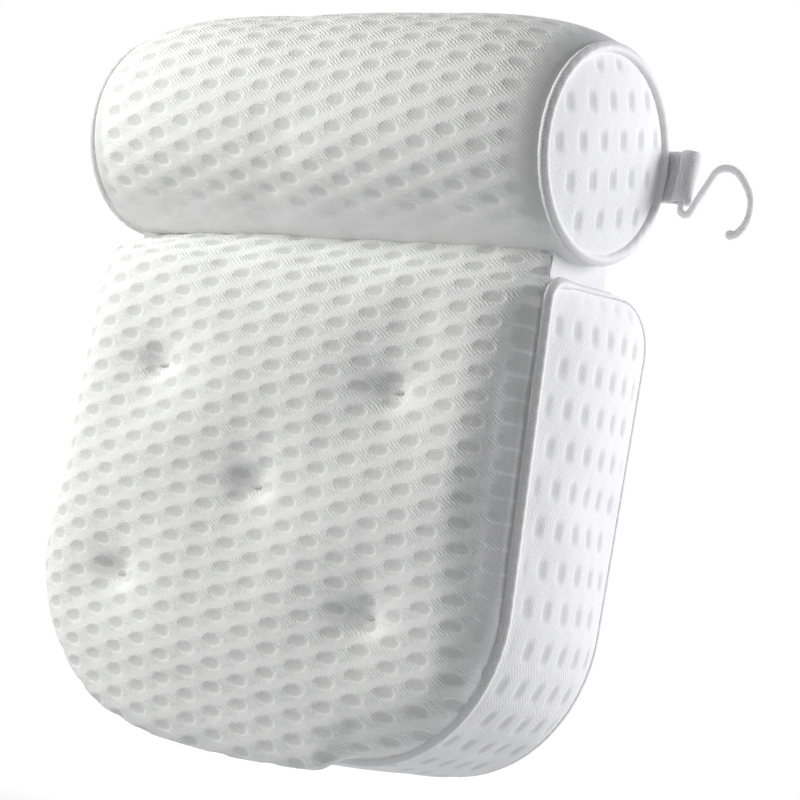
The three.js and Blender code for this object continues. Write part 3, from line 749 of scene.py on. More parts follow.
@dataclass(frozen=True)
class HollowLattice:
    """Oval hollows of the mesh on a centred rectangular lattice, turned and slanted with the cloth.

    Every second column of hollows is shifted by half a pitch. The long side of a hollow lies
    along the first cloth coordinate.
    """

    long_pitch: float = 0.0368
    cross_pitch: float = 0.0127
    length: float = 0.0134
    width: float = 0.0067
    depth: float = 0.0006
    squareness: float = 2.3
    softness: float = 0.7
    reach: float = 1.15
    origin: Pair = (0.0, 0.0)
    turn: float = 0.0
    slant: float = 0.0

    def weave(self, first: Array, second: Array) -> Array:
        """Cloth coordinates: moved to a hollow, turned, and slanted along the second one.

        Args:
            first: Place along the long side of the hollows.
            second: Place across them.

        Returns:
            The two coordinates in the last axis.
        """
        a, b = first - self.origin[0], second - self.origin[1]
        c, s = math.cos(self.turn), math.sin(self.turn)
        across = c * b - s * a
        return np.stack([c * a + s * b - self.slant * across, across], axis=-1)

    def hollow(self, weave: Array) -> Array:
        """Depth from 0 to 1: a smooth step of the superellipse round the nearest hollow."""
        column = weave[..., 0] / (0.5 * self.long_pitch)
        nearest = np.round(column)
        along = (column - nearest) * 0.5 * self.long_pitch
        row = weave[..., 1] / self.cross_pitch - 0.5 * np.mod(nearest, 2.0)
        across = (row - np.round(row)) * self.cross_pitch
        power = self.squareness
        oval = np.abs(2.0 * along / self.length) ** power + np.abs(2.0 * across / self.width) ** power
        return 1.0 - smooth(self.reach - self.softness, self.reach, oval ** (1.0 / power))


@dataclass(frozen=True)
class SeamCellsAndShade:
    """Cells of stretched mesh along a seam, with a thin rib between each two, greyed towards the seam as
    painted shade.
    """

    pitch: float
    origin: float = 0.0
    near: float = 0.007
    far: float = 0.024
    rib: float = 0.0018
    shade: float = 1.05
    flatness: float = 0.6

    def over(self, hollow: Array, distance: Array, place: Array, weight: Array) -> tuple[Array, Array]:
        """Hollows that give way to the cells near the seam, whose grey in the finish is painted shade.

        Args:
            hollow: Depth of the hollows.
            distance: Distance from the seam.
            place: Place along the seam.
            weight: How far the cells show, from 0 to 1.

        Returns:
            Depth of the hollows and cells, and the share of it that the cloth sinks by.
        """
        step = (place - self.origin) / self.pitch
        away = np.abs(step - np.round(step)) * self.pitch
        # Painted shade: the cells' value, shade, greys them past the hollows; the ribs between them stay
        # lighter.
        cell = self.shade * (1.0 - 0.55 * smooth(self.rib, 0.3 * self.rib, away))
        share = smooth(self.far, self.near, distance) * weight
        return hollow + (np.maximum(cell, hollow) - hollow) * share, 1.0 - self.flatness * share


# The pad

class StripEdge(Enum):
    """The two long edges of the side strip."""

    FRONT = "front"
    REAR = "rear"


@dataclass(frozen=True)
class PadForm:
    """The pad's outline seen from the front and its two sloping edges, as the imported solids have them."""

    half_width: float = 0.161
    bottom_radius: float = 0.085
    bottom: float = -0.130
    bottom_bow: float = 0.005
    height: float = 0.265
    taper: float = math.radians(2.0)
    back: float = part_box("back_panel")[1][1]
    depth_low: float = 0.081
    depth_high: float = 0.100
    top_fall: float = math.radians(6.0)
    front_corner: float = 0.011
    rear_corner: float = 0.027
    cord: float = 0.0029
    inset: float = 0.0016

    @property
    def top(self) -> float:
        """Height of the pad's rear top edge."""
        return self.bottom + self.height

    @property
    def rear_line(self) -> float:
        """Depth of the rear piping's middle."""
        return self.back - self.cord

    @property
    def corner_middle(self) -> Pair:
        """X and Z of the middle of the right bottom corner."""
        return self.half_width - self.bottom_radius, self.bottom + self.bottom_radius

    def side_x(self, z: Array) -> Array:
        """Half width at a height on the straight side."""
        foot_x = self.half_width - self.bottom_radius * (1.0 - math.cos(self.taper))
        foot_z = self.bottom + self.bottom_radius * (1.0 + math.sin(self.taper))
        return foot_x - (z - foot_z) * math.tan(self.taper)

    def front_y(self, z: Array) -> Array:
        """Depth of the plane of the front piping at a height."""
        share = (z - self.bottom) / self.height
        return self.back - self.depth_low - (self.depth_high - self.depth_low) * share

    def top_z(self, y: Array) -> Array:
        """Height of the sloping top at a depth."""
        return self.top - (self.rear_line - y) * math.tan(self.top_fall)

    def outline(self, top: float) -> Array:
        """Right half of the outline: a bowed bottom, a round corner and a straight tapering side.

        Args:
            top: Height where it ends.

        Returns:
            X, Z and the outward direction's X and Z, one row for each point, from the bottom middle.
        """
        low_x, low_z = self.corner_middle
        share = np.linspace(0.0, 1.0, 16, endpoint=False)
        none, bow = 0.0 * share, self.bottom_bow * (1.0 - share ** 2)
        flat = np.stack([low_x * share, self.bottom - bow, none, none - 1.0], axis=1)
        angle = np.linspace(-0.5 * math.pi, self.taper, 48)
        c, s = np.cos(angle), np.sin(angle)
        bend = np.stack([low_x + self.bottom_radius * c, low_z + self.bottom_radius * s, c, s], axis=1)
        z = np.linspace(bend[-1, 1], top, 41)[1:]
        side = np.stack([self.side_x(z), z, 0.0 * z + c[-1], 0.0 * z + s[-1]], axis=1)
        return np.concatenate([flat, bend, side])

    def seam(self, points: Array, inset: float) -> tuple[Array, Array]:
        """Distance of points from the pad's seam as seen from the front, and the ways out to it.

        Below the round corners' middles the distance is measured from the bottom arc, and above
        them from the straight side, with a smooth change from one to the other.

        Args:
            points: Points of a panel.
            inset: How far the seam lies inside the outline.

        Returns:
            Distances, and unit vectors.
        """
        low_x, low_z = self.corner_middle
        reach, z = np.abs(points[..., 0]), points[..., 2]
        away = np.stack([np.maximum(0.0, reach - low_x), np.minimum(0.0, z - low_z)], axis=-1)
        bow = self.bottom_bow * (1.0 - np.minimum(1.0, reach / low_x) ** 2)
        span = np.linalg.norm(away, axis=-1)
        below = self.bottom_radius + bow - span
        upper = smooth(low_z - 0.02, low_z + 0.03, z)
        distance = below + (self.side_x(z) - reach - below) * upper - inset
        across = np.where(z > low_z, 1.0, away[..., 0] / span.clip(1e-9)) * np.sign(points[..., 0])
        down = np.where(z > low_z, 0.0, away[..., 1] / span.clip(1e-9))
        return distance, np.stack([across, 0.0 * across, down], axis=-1)

    def corner(self, edge: StripEdge, inset: float) -> Array:
        """Rounded corner of the side profile at one edge of the strip, from its shoulder to the top.

        Args:
            edge: Front or rear.
            inset: How far inside the piping's middle it lies.

        Returns:
            Y and Z, one row for each point.
        """
        rise = math.tan(self.top_fall)
        lean = (self.depth_high - self.depth_low) / self.height
        end = 0.5 * math.pi + self.top_fall
        tip, radius, start = np.array([self.rear_line, self.top]), self.rear_corner, 0.0
        if edge is StripEdge.FRONT:
            z = (self.top - (self.rear_line - self.front_y(0.0)) * rise) / (1.0 + lean * rise)
            tip, radius, start = np.array([self.front_y(z), z]), self.front_corner, math.pi + math.atan(lean)
        sides = np.array([[math.cos(start), math.sin(start)], [math.cos(end), math.sin(end)]])
        middle = tip - sides.sum(axis=0) * radius / (1.0 + sides[0] @ sides[1])
        angle = np.linspace(start, end, 24)
        return middle + (radius - inset) * np.stack([np.cos(angle), np.sin(angle)], axis=1)

    def edge(self, edge: StripEdge, inset: float) -> Array:
        """Right half of a long edge of the strip, round its top corner.

        Args:
            edge: Front or rear.
            inset: How far inside the piping's middle it lies.

        Returns:
            Point, outward direction and length along the outline, seven columns.
        """
        bend = self.corner(edge, inset)
        side = self.outline(bend[0, 1])
        front = edge is StripEdge.FRONT
        y = self.front_y(side[:, 1]) + inset if front else 0.0 * side[:, 1] + self.rear_line - inset
        up = np.stack([side[:, 0], y, side[:, 1], side[:, 2], 0.0 * y, side[:, 3]], axis=1)
        top = np.stack([self.side_x(bend[1:, 1]), bend[1:, 0], bend[1:, 1]], axis=1)
        out = np.broadcast_to(up[-1, 3:], top.shape)
        run = np.concatenate([up, np.concatenate([top, out], axis=1)])
        return np.concatenate([run, lengths(run[:, [0, 2]])[:, None]], axis=1)


def mirrored(half: Array) -> Array:
    """Both halves of a right-hand run of three or seven columns, from the left end to the right one."""
    signs = np.array([-1.0, 1.0, 1.0, -1.0, 1.0, 1.0, -1.0])[:half.shape[1]]
    return np.concatenate([half[:0:-1] * signs, half])


def corner_point(out: Array) -> int:
    """Number of the point whose outward direction, given by X and Z, is nearest to 45 degrees down."""
    return int(np.argmin(np.abs(np.arctan2(out[:, 1], out[:, 0]) + 0.25 * math.pi)))


@dataclass
class PadFront:
    """Tufted and crowned front of the pad, which runs up into the crease under the roll.

    The pairs of the crown hold its left and its right value. The fades hold the places where
    something starts and where it is complete.
    """

    form: PadForm
    crown: Pair = (0.028, 0.022)
    crown_reach: Pair = (0.098, 0.058)
    crown_fullness: Pair = (0.5, 0.56)
    crown_power: float = 3.0
    crown_fade: Pair = (-0.06, 0.10)
    top_power: float = 2.6
    top_lean: float = 0.64
    border: float = 0.026
    overhang: float = 0.1032
    overhang_left: Pair = (-0.150, -0.050)
    overhang_right: Pair = (0.090, 0.066)
    inset: float = 0.0004
    crease_left: Triple = (-0.1400, -0.0980, 0.1360)
    crease_right: Triple = (0.1480, -0.1075, 0.1415)
    crest: Triple = (0.0, -0.0022, 0.0038)
    side_end: int = -12
    tufts: Sites = ((-0.081, 0.058), (0.081, 0.058), (0.0, 0.0), (-0.086, -0.058), (0.086, -0.058))
    tuft_hold: float = 0.005
    tuft_depth: float = 0.0045
    tuft_reach: float = 0.019
    pinch_depth: float = 0.0055
    pinch_reach: float = 0.007
    pinch_draw: Pair = (0.6, 1.0)
    tack_fade: Pair = (0.003, 0.007)
    seam_shade_low: Pair = (-0.085, -0.055)
    seam_shade_high: Pair = (0.118, 0.105)
    coarse: tuple[int, int] = (61, 71)
    fine: tuple[int, int] = (270, 300)
    stuffing: Stuffing = Stuffing(pressure=4.0, most=0.004)
    lattice: HollowLattice = HollowLattice(origin=(0.0097, 0.0119), turn=math.radians(1.5), slant=-0.03)
    ribs: SeamCellsAndShade = SeamCellsAndShade(pitch=0.0123, origin=0.0125)

    def spread(self, count: int) -> Array:
        """Shares from 0 to 1 that lie closer together at both ends."""
        even = np.linspace(-1.0, 1.0, count)
        return 0.5 + 0.5 * (0.4 * even + 0.6 * np.sin(0.5 * math.pi * even))

    def patch(self) -> tuple[Array, Array]:
        """Base of the panel: a patch inside the front piping that ends in the crease.

        Returns:
            Coarse grid, and shares up.
        """
        half = self.form.edge(StripEdge.FRONT, 0.0)
        half[:, :3] -= self.inset * half[:, 3:6]
        turn = corner_point(half[:, [3, 5]])
        v, u = self.spread(self.coarse[0]), self.spread(self.coarse[1])
        side = half[turn:self.side_end, :3]
        right = resample(rounded(np.concatenate([side, [self.crease_right]])), v)
        left = resample(rounded(np.concatenate([side * [-1.0, 1.0, 1.0], [self.crease_left]])), v)
        hump = (1.0 - np.abs(2.0 * u - 1.0) ** 3)[:, None]
        top = left[-1] + u[:, None] * (right[-1] - left[-1]) + hump * np.array(self.crest)
        return coons(resample(mirrored(half[:turn + 1, :3]), u), top, left, right, u, v), v

    def shape(self) -> tuple[Array, Array, Array]:
        """Crowned and tufted panel with a lower border that bulges over the piping.

        The base moves forward by a dome of the distance from the seam, which is tighter at the
        right edge than at the left and leans back towards the top edge inside the roll, less the
        tufts' dips, and along the bottom outwards by a hump of that distance. A dip is a wide bell
        and a narrow one drawn out sideways.

        Returns:
            Coarse grid, the same without the dips, and truth values where a seam or a tuft holds it.
        """
        base, v = self.patch()
        x = base[..., 0]
        distance, out = self.form.seam(base, self.inset)
        right = smooth(*self.crown_fade, x)
        crown, reach, fullness = (
            first + (last - first) * right
            for first, last in (self.crown, self.crown_reach, self.crown_fullness))
        near = 1.0 - np.clip(distance / reach, 0.0, 1.0)
        lean = 1.0 - self.top_lean * np.maximum(0.0, 2.0 * v - 1.0)[:, None] ** self.top_power
        dome = lean * (1.0 - near ** self.crown_power) ** fullness
        apart = base[:, :, None, [0, 2]] - np.array(self.tufts)
        away, oval = np.linalg.norm(apart, axis=3), np.linalg.norm(apart * self.pinch_draw, axis=3)
        wide = self.tuft_depth * np.exp(-(away / self.tuft_reach) ** 2)
        pinch = self.pinch_depth * np.exp(-(oval / self.pinch_reach) ** 2)
        dip = dome * (wide + pinch).sum(axis=2)
        share = np.clip(distance / self.border, 0.0, 1.0)
        low = np.maximum(0.0, -out[..., 2]) * smooth(*self.overhang_right, x) * smooth(*self.overhang_left, x)
        push = self.overhang * share * (1.0 - share) ** 2 * low
        held = (away.min(axis=2) < self.tuft_hold) | (rim_steps(*self.coarse) == 0)
        even = base + out * push[..., None] + FORWARD * (dome * crown)[..., None]
        return even - FORWARD * dip[..., None], even, held

    def cloth_place(self, points: Array) -> tuple[Array, Array]:
        """Place on the flat cloth: X and Z, each with the length added that the crown takes up.

        Args:
            points: Fine grid of the panel without its tufts.

        Returns:
            Place across and place up.
        """
        middle = points.shape[1] // 2
        level = int(np.argmin(np.abs(points[:, middle, 2])))
        flat = points[..., [0, 2]]
        across, up = (lengths(points, axis) - lengths(flat, axis) for axis in (1, 0))
        return flat[..., 0] + across - across[:, [middle]], flat[..., 1] + up - up[[level]]

    def tack_sites(self, points: Array) -> Array:
        """Points of the panel at the tufts."""
        away = np.linalg.norm(points[:, :, None, [0, 2]] - np.array(self.tufts), axis=3)
        nearest = away.reshape(-1, len(self.tufts)).argmin(axis=0)
        return points.reshape(-1, 3)[nearest]

    def build(self) -> Array:
        """Makes the panel, and returns the points where the tacks sit."""
        start, even, held = self.shape()
        points = refined(self.stuffing.swell(start, held), *self.fine)
        weave = self.lattice.weave(*self.cloth_place(refined(even, *self.fine)))
        sites = self.tack_sites(points)
        away = np.linalg.norm(points[:, :, None, :] - sites, axis=3).min(axis=2)
        gap, z = lengths(points, 1), points[..., 2]
        gap = np.minimum(gap, gap[:, -1:] - gap)
        # Painted shade: the cells beside the side seams grey the panel towards each seam, between the two
        # height fades.
        upright = smooth(*self.seam_shade_low, z) * smooth(*self.seam_shade_high, z)
        hollow, share = self.ribs.over(self.lattice.hollow(weave), gap, z, upright)
        hollow = hollow * smooth(*self.tack_fade, away)
        sink = self.lattice.depth * hollow * share * smooth(0.0, 3.0, rim_steps(*self.fine))
        panel = mesh_object("pad_front", [Surface(sunk(points, sink), weave, hollow)])
        finish_piece(panel, Slot.SPACER_MESH, None, ["front_panel", "pad_wadding"])
        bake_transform(panel)
        return sites


@dataclass
class TuftTies:
    """Bar tacks that hold the tufts, each a satin row of zigzag stitches over a few laid threads."""

    length: float = 0.008
    width: float = 0.0024
    stitches: int = 13
    thread: float = 0.0003
    rise: float = 0.0008
    core: float = 0.0006
    core_scale: Triple = (1.0, 0.4, 0.2)

    def build(self, sites: Array) -> None:
        """Makes a tack at each site.

        The thread's middle line goes along the bar at an even pace, swings across it as a
        triangle wave, and arches forward over the bar's width.

        Args:
            sites: Points of the front panel at the tufts.
        """
        share = np.linspace(0.0, 1.0, self.stitches * 10 + 1)
        swing = 2.0 / math.pi * np.arcsin(np.sin(math.pi * self.stitches * share))
        ends = np.minimum(1.0, 12.0 * np.minimum(share, 1.0 - share) + 0.3)
        bow = self.rise * (1.0 - 0.8 * swing ** 2) * ends
        line = np.stack([self.length * (share - 0.5), -bow, 0.5 * self.width * swing], axis=1)
        guide = np.broadcast_to(FORWARD, line.shape)
        for number, site in enumerate(sites, start=1):
            bar = tube(line + site, guide, np.array(self.thread), 6)
            under = tube(line[::4] * self.core_scale + site, guide[::4], np.array(self.core), 8)
            tack = mesh_object(f"tuft_tack_{number}", [bar, under])
            finish_piece(tack, Slot.TUFT_THREAD, "pad", [f"tuft_tie_{number}"])


@dataclass
class SideStrip:
    """Strip of mesh round the sides and the bottom of the pad, with round top ends."""

    form: PadForm
    bulge: float = 0.005
    bottom_flatness: float = 0.8
    edge_fade: Pair = (2.0, 7.0)
    end_fade: Pair = (2.0, 20.0)
    hollow_shade: float = 0.8
    stitch: float = 0.3
    coarse: tuple[int, int] = (141, 17)
    fine: tuple[int, int] = (620, 74)
    stuffing: Stuffing = Stuffing()
    lattice: HollowLattice = HollowLattice(
        long_pitch=0.0406, cross_pitch=0.0140, length=0.0150, width=0.0076, squareness=3.5,
        softness=0.9, origin=(0.2793, -0.061), turn=math.radians(-2.5))

    def build(self) -> None:
        """Makes the strip: ruled between its edges, plus a parabola across it along the outward direction."""
        rows, columns = self.coarse
        shares, share = np.linspace(0.0, 1.0, rows), np.linspace(0.0, 1.0, columns)[None, :, None]
        front, rear = (
            resample(mirrored(self.form.edge(edge, self.form.inset)), shares)[:, None] for edge in StripEdge)
        ruled = front * (1.0 - share) + rear * share
        out = unit(ruled[..., 3:6])
        place = np.abs(np.linspace(-1.0, 1.0, rows))[:, None, None]
        fade = smooth(1.0, 0.9, place) * (1.0 + self.bottom_flatness * np.minimum(0.0, out[..., 2:]))
        start = ruled[..., :3] + out * self.bulge * fade * 4.0 * share * (1.0 - share)
        points = refined(self.stuffing.swell(start, rim_steps(rows, columns) == 0), *self.fine)
        cloth = refined(ruled[..., [6, 1]], *self.fine)
        weave = self.lattice.weave(cloth[..., 0], cloth[..., 1])
        ends, edges = steps_in(self.fine[0])[:, None], steps_in(self.fine[1])[None, :]
        hollow = self.lattice.hollow(weave) * smooth(*self.edge_fade, edges) * smooth(*self.end_fade, ends)
        points = sunk(points, self.lattice.depth * hollow)
        # Painted shade in the hollows, a share of their depth value.
        sheet = Surface(points, weave, self.hollow_shade * hollow, self.stitch, cap=Cap.NONE)
        strip = mesh_object("side_strip", [sheet])
        finish_piece(strip, Slot.SPACER_MESH, "pad", ["gusset"], wall=SHEET_WALL)


@dataclass
class PadPiping:
    """Piping cords along the strip's two edges, which meet on its round top ends."""

    form: PadForm
    sides: int = 18
    steps: int = 1100
    flute: float = 0.025
    lay: float = 0.0085
    groove: float = 0.2
    groove_width: float = 0.45
    face: float = 0.85
    taper: float = 0.045
    thin: float = 0.6

    def rope(
            self, path: Array, guide: Array, grey: Array | float,
            ring: bool = False, size: float = 1.0) -> Surface:
        """Cord whose radius swells along two slow spirals, with a shallow groove on its outer front.

        Args:
            path: Middle line.
            guide: Directions square to it.
            grey: How much painted shade greys the cord's middle at each point.
            ring: Whether it closes; if not, it thins out at both ends.
            size: Share of the full radius.

        Returns:
            The cord's surface.
        """
        along = lengths(path)
        pace = max(1.0, round(along[-1] / self.lay)) / along[-1]
        angle = turns(self.sides)[:-1]
        spiral = np.cos(2.0 * angle - FULL_TURN * pace * along[None, :])
        radius = size * self.form.cord * (1.0 + self.flute * spiral)
        radius = radius * (1.0 - self.groove * np.exp(-((angle - self.face) / self.groove_width) ** 2))
        if not ring:
            full = smooth(0.6 * self.taper, self.taper, np.minimum(along, along[-1] - along))
            radius = radius * (self.thin + (1.0 - self.thin) * full)[None, :]
        cord = tube(path, guide, radius, self.sides, ring)
        cord.hollow = grey
        return cord

    def half(self, edge: StripEdge, middle: float) -> Array:
        """Right half of a cord's middle line, up to where the two cords meet on the top end."""
        run = self.form.edge(edge, 0.0)
        y = np.linspace(run[-1, 1], middle, 20)[1:]
        z = self.form.top_z(y)
        more = np.stack([self.form.side_x(z), y, z], axis=1)
        out = np.broadcast_to(run[-1, 3:], (len(y), 4))
        return np.concatenate([run, np.concatenate([more, out], axis=1)])

    def build(self) -> None:
        """Makes the front and the rear cord."""
        middle = 0.5 * (self.form.corner(StripEdge.FRONT, 0.0)[-1, 0] + self.form.rear_line)
        # Painted shade: the front cord's middle is greyed far more than the rear cord's.
        for edge, name, node, grey, size in (
                (StripEdge.FRONT, "piping_front_cord", "piping_front", 0.6, 1.0),
                (StripEdge.REAR, "piping_rear_cord", "piping_back", 0.1, 0.55)):
            run = resample(mirrored(self.half(edge, middle)), np.linspace(0.0, 1.0, self.steps))
            guide = unit(run[:, 3:6])
            path = run[:, :3] - (1.0 - size) * self.form.cord * guide
            cord = mesh_object(name, [self.rope(path, guide, grey, size=size)])
            finish_piece(cord, Slot.PIPING_CORD, "pad", [node])


@dataclass
class PadTop:
    """Panel over the top of the pad, behind the neck, down to the rear piping."""

    form: PadForm
    puff: float = 0.002
    neck_rear: float = -0.060
    neck_fade: float = 0.018
    coarse: tuple[int, int] = (21, 49)
    fine: tuple[int, int] = (92, 260)
    stuffing: Stuffing = Stuffing(most=0.003)
    lattice: HollowLattice = HollowLattice()

    def build(self) -> None:
        """Makes the panel: the side profile's top carried across, with a low puff behind the neck."""
        front = self.form.corner(StripEdge.FRONT, 0.0)[-1]
        line = np.concatenate([[front], self.form.corner(StripEdge.REAR, 0.0)[::-1]])
        rows, columns = self.coarse
        v, u = np.linspace(0.0, 1.0, rows), np.linspace(-1.0, 1.0, columns)
        run = resample(np.concatenate([0.0 * line[:, :1], line], axis=1), v)
        x = (self.form.side_x(run[:, 2]) - self.form.inset)[:, None] * u[None, :]
        y, z = (np.broadcast_to(run[:, [axis]], x.shape) for axis in (1, 2))
        base = np.stack([x, y, z], axis=2)
        free = smooth(self.neck_rear, self.neck_rear + self.neck_fade, y)
        rise = self.puff * (1.0 - u[None, :] ** 4) * (1.0 - (2.0 * v[:, None] - 1.0) ** 4) * free
        held = (y < self.neck_rear) | (rim_steps(rows, columns) == 0)
        points = refined(self.stuffing.swell(sunk(base, -rise), held), *self.fine)
        up = np.linspace(0.0, lengths(run)[-1], self.fine[0])[:, None]
        weave = self.lattice.weave(points[..., 0], np.broadcast_to(up, points.shape[:2]))
        hollow = self.lattice.hollow(weave)
        points = sunk(points, self.lattice.depth * hollow)
        panel = mesh_object("pad_top", [Surface(points, weave, hollow, cap=Cap.NONE)])
        finish_piece(panel, Slot.SPACER_MESH, "pad", ["top_panel"], wall=SHEET_WALL)


@dataclass
class PadBack:
    """Flat back of the pad, which the eyelets and the suction cups go through."""

    form: PadForm
    sites: Sites
    seat: float = 0.0008
    clamp: float = 0.0012
    clamp_fade: Pair = (0.014, 0.009)
    hollow_fade: Pair = (0.010, 0.014)
    fine: tuple[int, int] = (170, 220)
    lattice: HollowLattice = HollowLattice(turn=math.radians(-1.0))

    def build(self) -> None:
        """Makes the panel: a flat patch inside the rear piping, with hollows that fade at the eyelets."""
        side = self.form.outline(self.form.corner(StripEdge.REAR, 0.0)[0, 1])
        x, z = (side[:, :2] - self.form.inset * side[:, 2:]).T
        half = np.stack([-x, 0.0 * x + self.form.back - self.seat, z], axis=1)
        turn = corner_point(side[:, 2:])
        v, u = np.linspace(0.0, 1.0, self.fine[0]), np.linspace(0.0, 1.0, self.fine[1])
        end = resample(half[turn:], v)
        start = end * [-1.0, 1.0, 1.0]
        top = start[-1] + u[:, None] * (end[-1] - start[-1])
        points = coons(resample(mirrored(half[:turn + 1]), u), top, start, end, u, v)
        weave = self.lattice.weave(points[..., 0], points[..., 2])
        away = np.linalg.norm(points[:, :, None, [0, 2]] - np.array(self.sites), axis=3).min(axis=2)
        hollow = self.lattice.hollow(weave) * smooth(*self.hollow_fade, away)
        points = sunk(points, self.lattice.depth * hollow + self.clamp * smooth(*self.clamp_fade, away))
        panel = mesh_object("pad_back", [Surface(points, weave, hollow, cap=Cap.NONE)])
        finish_piece(panel, Slot.SPACER_MESH, "pad", ["back_panel"], wall=SHEET_WALL)


# The neck roll

@dataclass(frozen=True)
class RollForm:
    """The barrel of the neck roll, which swells more above than below."""

    axis: Pair = (-0.096, 0.197)
    half: float = 0.159
    seam: float = 0.1576
    end_radius: float = 0.057
    swell: float = 0.0095
    power: float = 5.0
    lift: float = 0.474

    def swell_at(self, x: Array) -> Array:
        """Growth of the radius at a place along the roll, none at the ends and all in the middle."""
        return self.swell * (1.0 - np.abs(x / self.half) ** self.power)

    def under(self, x: Array, y: Array) -> Array:
        """Height of the roll's underside at a place along it and a depth."""
        grow = self.swell_at(x)
        fall = np.sqrt((self.end_radius + grow) ** 2 - (y - self.axis[0]) ** 2)
        return self.axis[1] + self.lift * grow - fall


@dataclass
class NeckRoll:
    """Sleeve of mesh round the roll, filled and sewn to the neck along its underside.

    The fades are angles in degrees from straight below.
    """

    form: RollForm
    draw_in: float = 0.0020
    draw_power: float = 30.0
    cloth_radius: float = 0.0625
    start_angle: float = math.radians(-118.0)
    held_angle: float = -75.0
    held_half: float = 0.146
    hollow_fade: Pair = (55.0, 30.0)
    seam_shade_fade: Pair = (20.0, 50.0)
    stitch_fade: Pair = (60.0, 25.0)
    coarse: tuple[int, int] = (76, 63)
    fine: tuple[int, int] = (330, 300)
    stuffing: Stuffing = Stuffing()
    lattice: HollowLattice = HollowLattice(
        long_pitch=0.0367, cross_pitch=0.0135, origin=(0.0289, 0.0021), slant=-0.16)
    ribs: SeamCellsAndShade = SeamCellsAndShade(pitch=0.0135, near=0.003, far=0.022, rib=0.00001, shade=1.0)

    def build(self) -> None:
        """Makes the sleeve: at each place along X a circle of the barrel's radius round its raised middle."""
        end, axis = self.form.seam, self.form.axis
        angle = self.start_angle + turns(self.coarse[0])[:-1]
        x = np.linspace(-end, end, self.coarse[1])[None, :]
        grow = self.form.swell_at(x)
        radius = self.form.end_radius + grow - self.draw_in * np.abs(x / end) ** self.draw_power
        y = axis[0] - radius * np.cos(angle)
        z = axis[1] + self.form.lift * grow + radius * np.sin(angle)
        start = np.stack([np.broadcast_to(x, y.shape), y, z], axis=2)
        held = (np.degrees(angle) < self.held_angle) & (np.abs(x) < self.held_half)
        held = held | (np.abs(x) > end - 1e-6)
        points = refined(self.stuffing.swell(start, held, closed=True), *self.fine, closed=True)
        turn = self.start_angle + turns(self.fine[0])
        place = np.linspace(-end, end, self.fine[1])[None, :]
        weave = self.lattice.weave(place + 0.0 * turn, self.cloth_radius * turn + 0.0 * place)
        turn = turn[:-1]
        below = np.abs(np.degrees(turn) + 90.0)
        hollow = self.lattice.hollow(weave[:-1]) * (1.0 - 0.8 * smooth(*self.hollow_fade, below))
        # Painted shade: the sleeve greys smoothly towards each end seam, away from its underside; its ribs
        # are too thin to show.
        seam_shaded = smooth(*self.seam_shade_fade, below)
        hollow, share = self.ribs.over(hollow, end - np.abs(place), self.cloth_radius * turn, seam_shaded)
        sink = self.lattice.depth * hollow * share * smooth(0.0, 2.0, steps_in(self.fine[1]))[None, :]
        stitch = 1.0 - 0.75 * smooth(*self.stitch_fade, below)
        points = sunk(points, sink, closed=True)
        sleeve = mesh_object("roll_cover", [Surface(points, weave, hollow, stitch, closed=True)])
        finish_piece(sleeve, Slot.SPACER_MESH, "roll", ["roll_sleeve"])


@dataclass
class RollEnds:
    """Domed mesh discs at the roll's ends, with a ring of piping round each."""

    form: RollForm
    piping: PadPiping
    radius: float = 0.0534
    bore: float = 0.0006
    dome: float = 0.0055
    dome_power: float = 2.5
    edge_fade: Pair = (0.001, 0.008)
    hollow_shade: float = 0.8
    stitch: float = 0.3
    ring_radius: float = 0.0545
    ring_seat: float = 0.1579
    ring_steps: int = 360
    fine: tuple[int, int] = (280, 72)
    lattice: HollowLattice = HollowLattice(
        long_pitch=0.0402, cross_pitch=0.0173, length=0.0146, width=0.0078, squareness=3.5,
        softness=0.9, origin=(0.0038, -0.0111), turn=math.radians(-17.8))

    def disc(self, side: float) -> Surface:
        """Disc at one end, with a flat back: circles that rise along X by a power of the radius.

        Args:
            side: 1 for the right end, -1 for the left.

        Returns:
            The disc's surface.
        """
        turn = turns(self.fine[0])
        reach = np.linspace(self.bore, self.radius, self.fine[1])[None, :]
        y, z = reach * np.cos(turn), side * reach * np.sin(turn)
        weave = self.lattice.weave(z, y)
        hollow = self.lattice.hollow(weave) * smooth(*self.edge_fade, self.radius - reach)
        rise = self.dome * (1.0 - (reach / self.radius) ** self.dome_power) - self.lattice.depth * hollow
        x = side * (self.form.seam + rise)
        points = np.stack([x, self.form.axis[0] + y, self.form.axis[1] + z], axis=2)
        # Painted shade in the hollows, a share of their depth value.
        return Surface(points[:-1], weave, self.hollow_shade * hollow[:-1], self.stitch, closed=True)

    def ring(self, side: float) -> Surface:
        """Ring of piping at one end, in the plane of the seam, with painted shade on its middle that is
        greyest towards the user and lightest towards the wall.
        """
        turn = side * turns(self.ring_steps)[:-1, 0]
        out = np.stack([0.0 * turn, np.cos(turn), np.sin(turn)], axis=1)
        middle = np.array([side * self.ring_seat, *self.form.axis])
        # Painted shade: 0.4 less 0.3 times the cosine greys the cord most on the front side.
        return self.piping.rope(middle + self.ring_radius * out, out, 0.4 - 0.3 * np.cos(turn), ring=True)

    def build(self) -> None:
        """Makes both discs and both rings."""
        for side, name in ((1.0, "right"), (-1.0, "left")):
            disc = mesh_object(f"end_disc_{name}", [self.disc(side)])
            finish_piece(disc, Slot.SPACER_MESH, "roll", [f"roll_disc_{name}"])
            ring = mesh_object(f"end_piping_{name}", [self.ring(side)])
            finish_piece(ring, Slot.PIPING_CORD, "roll", [f"roll_piping_{name}"])


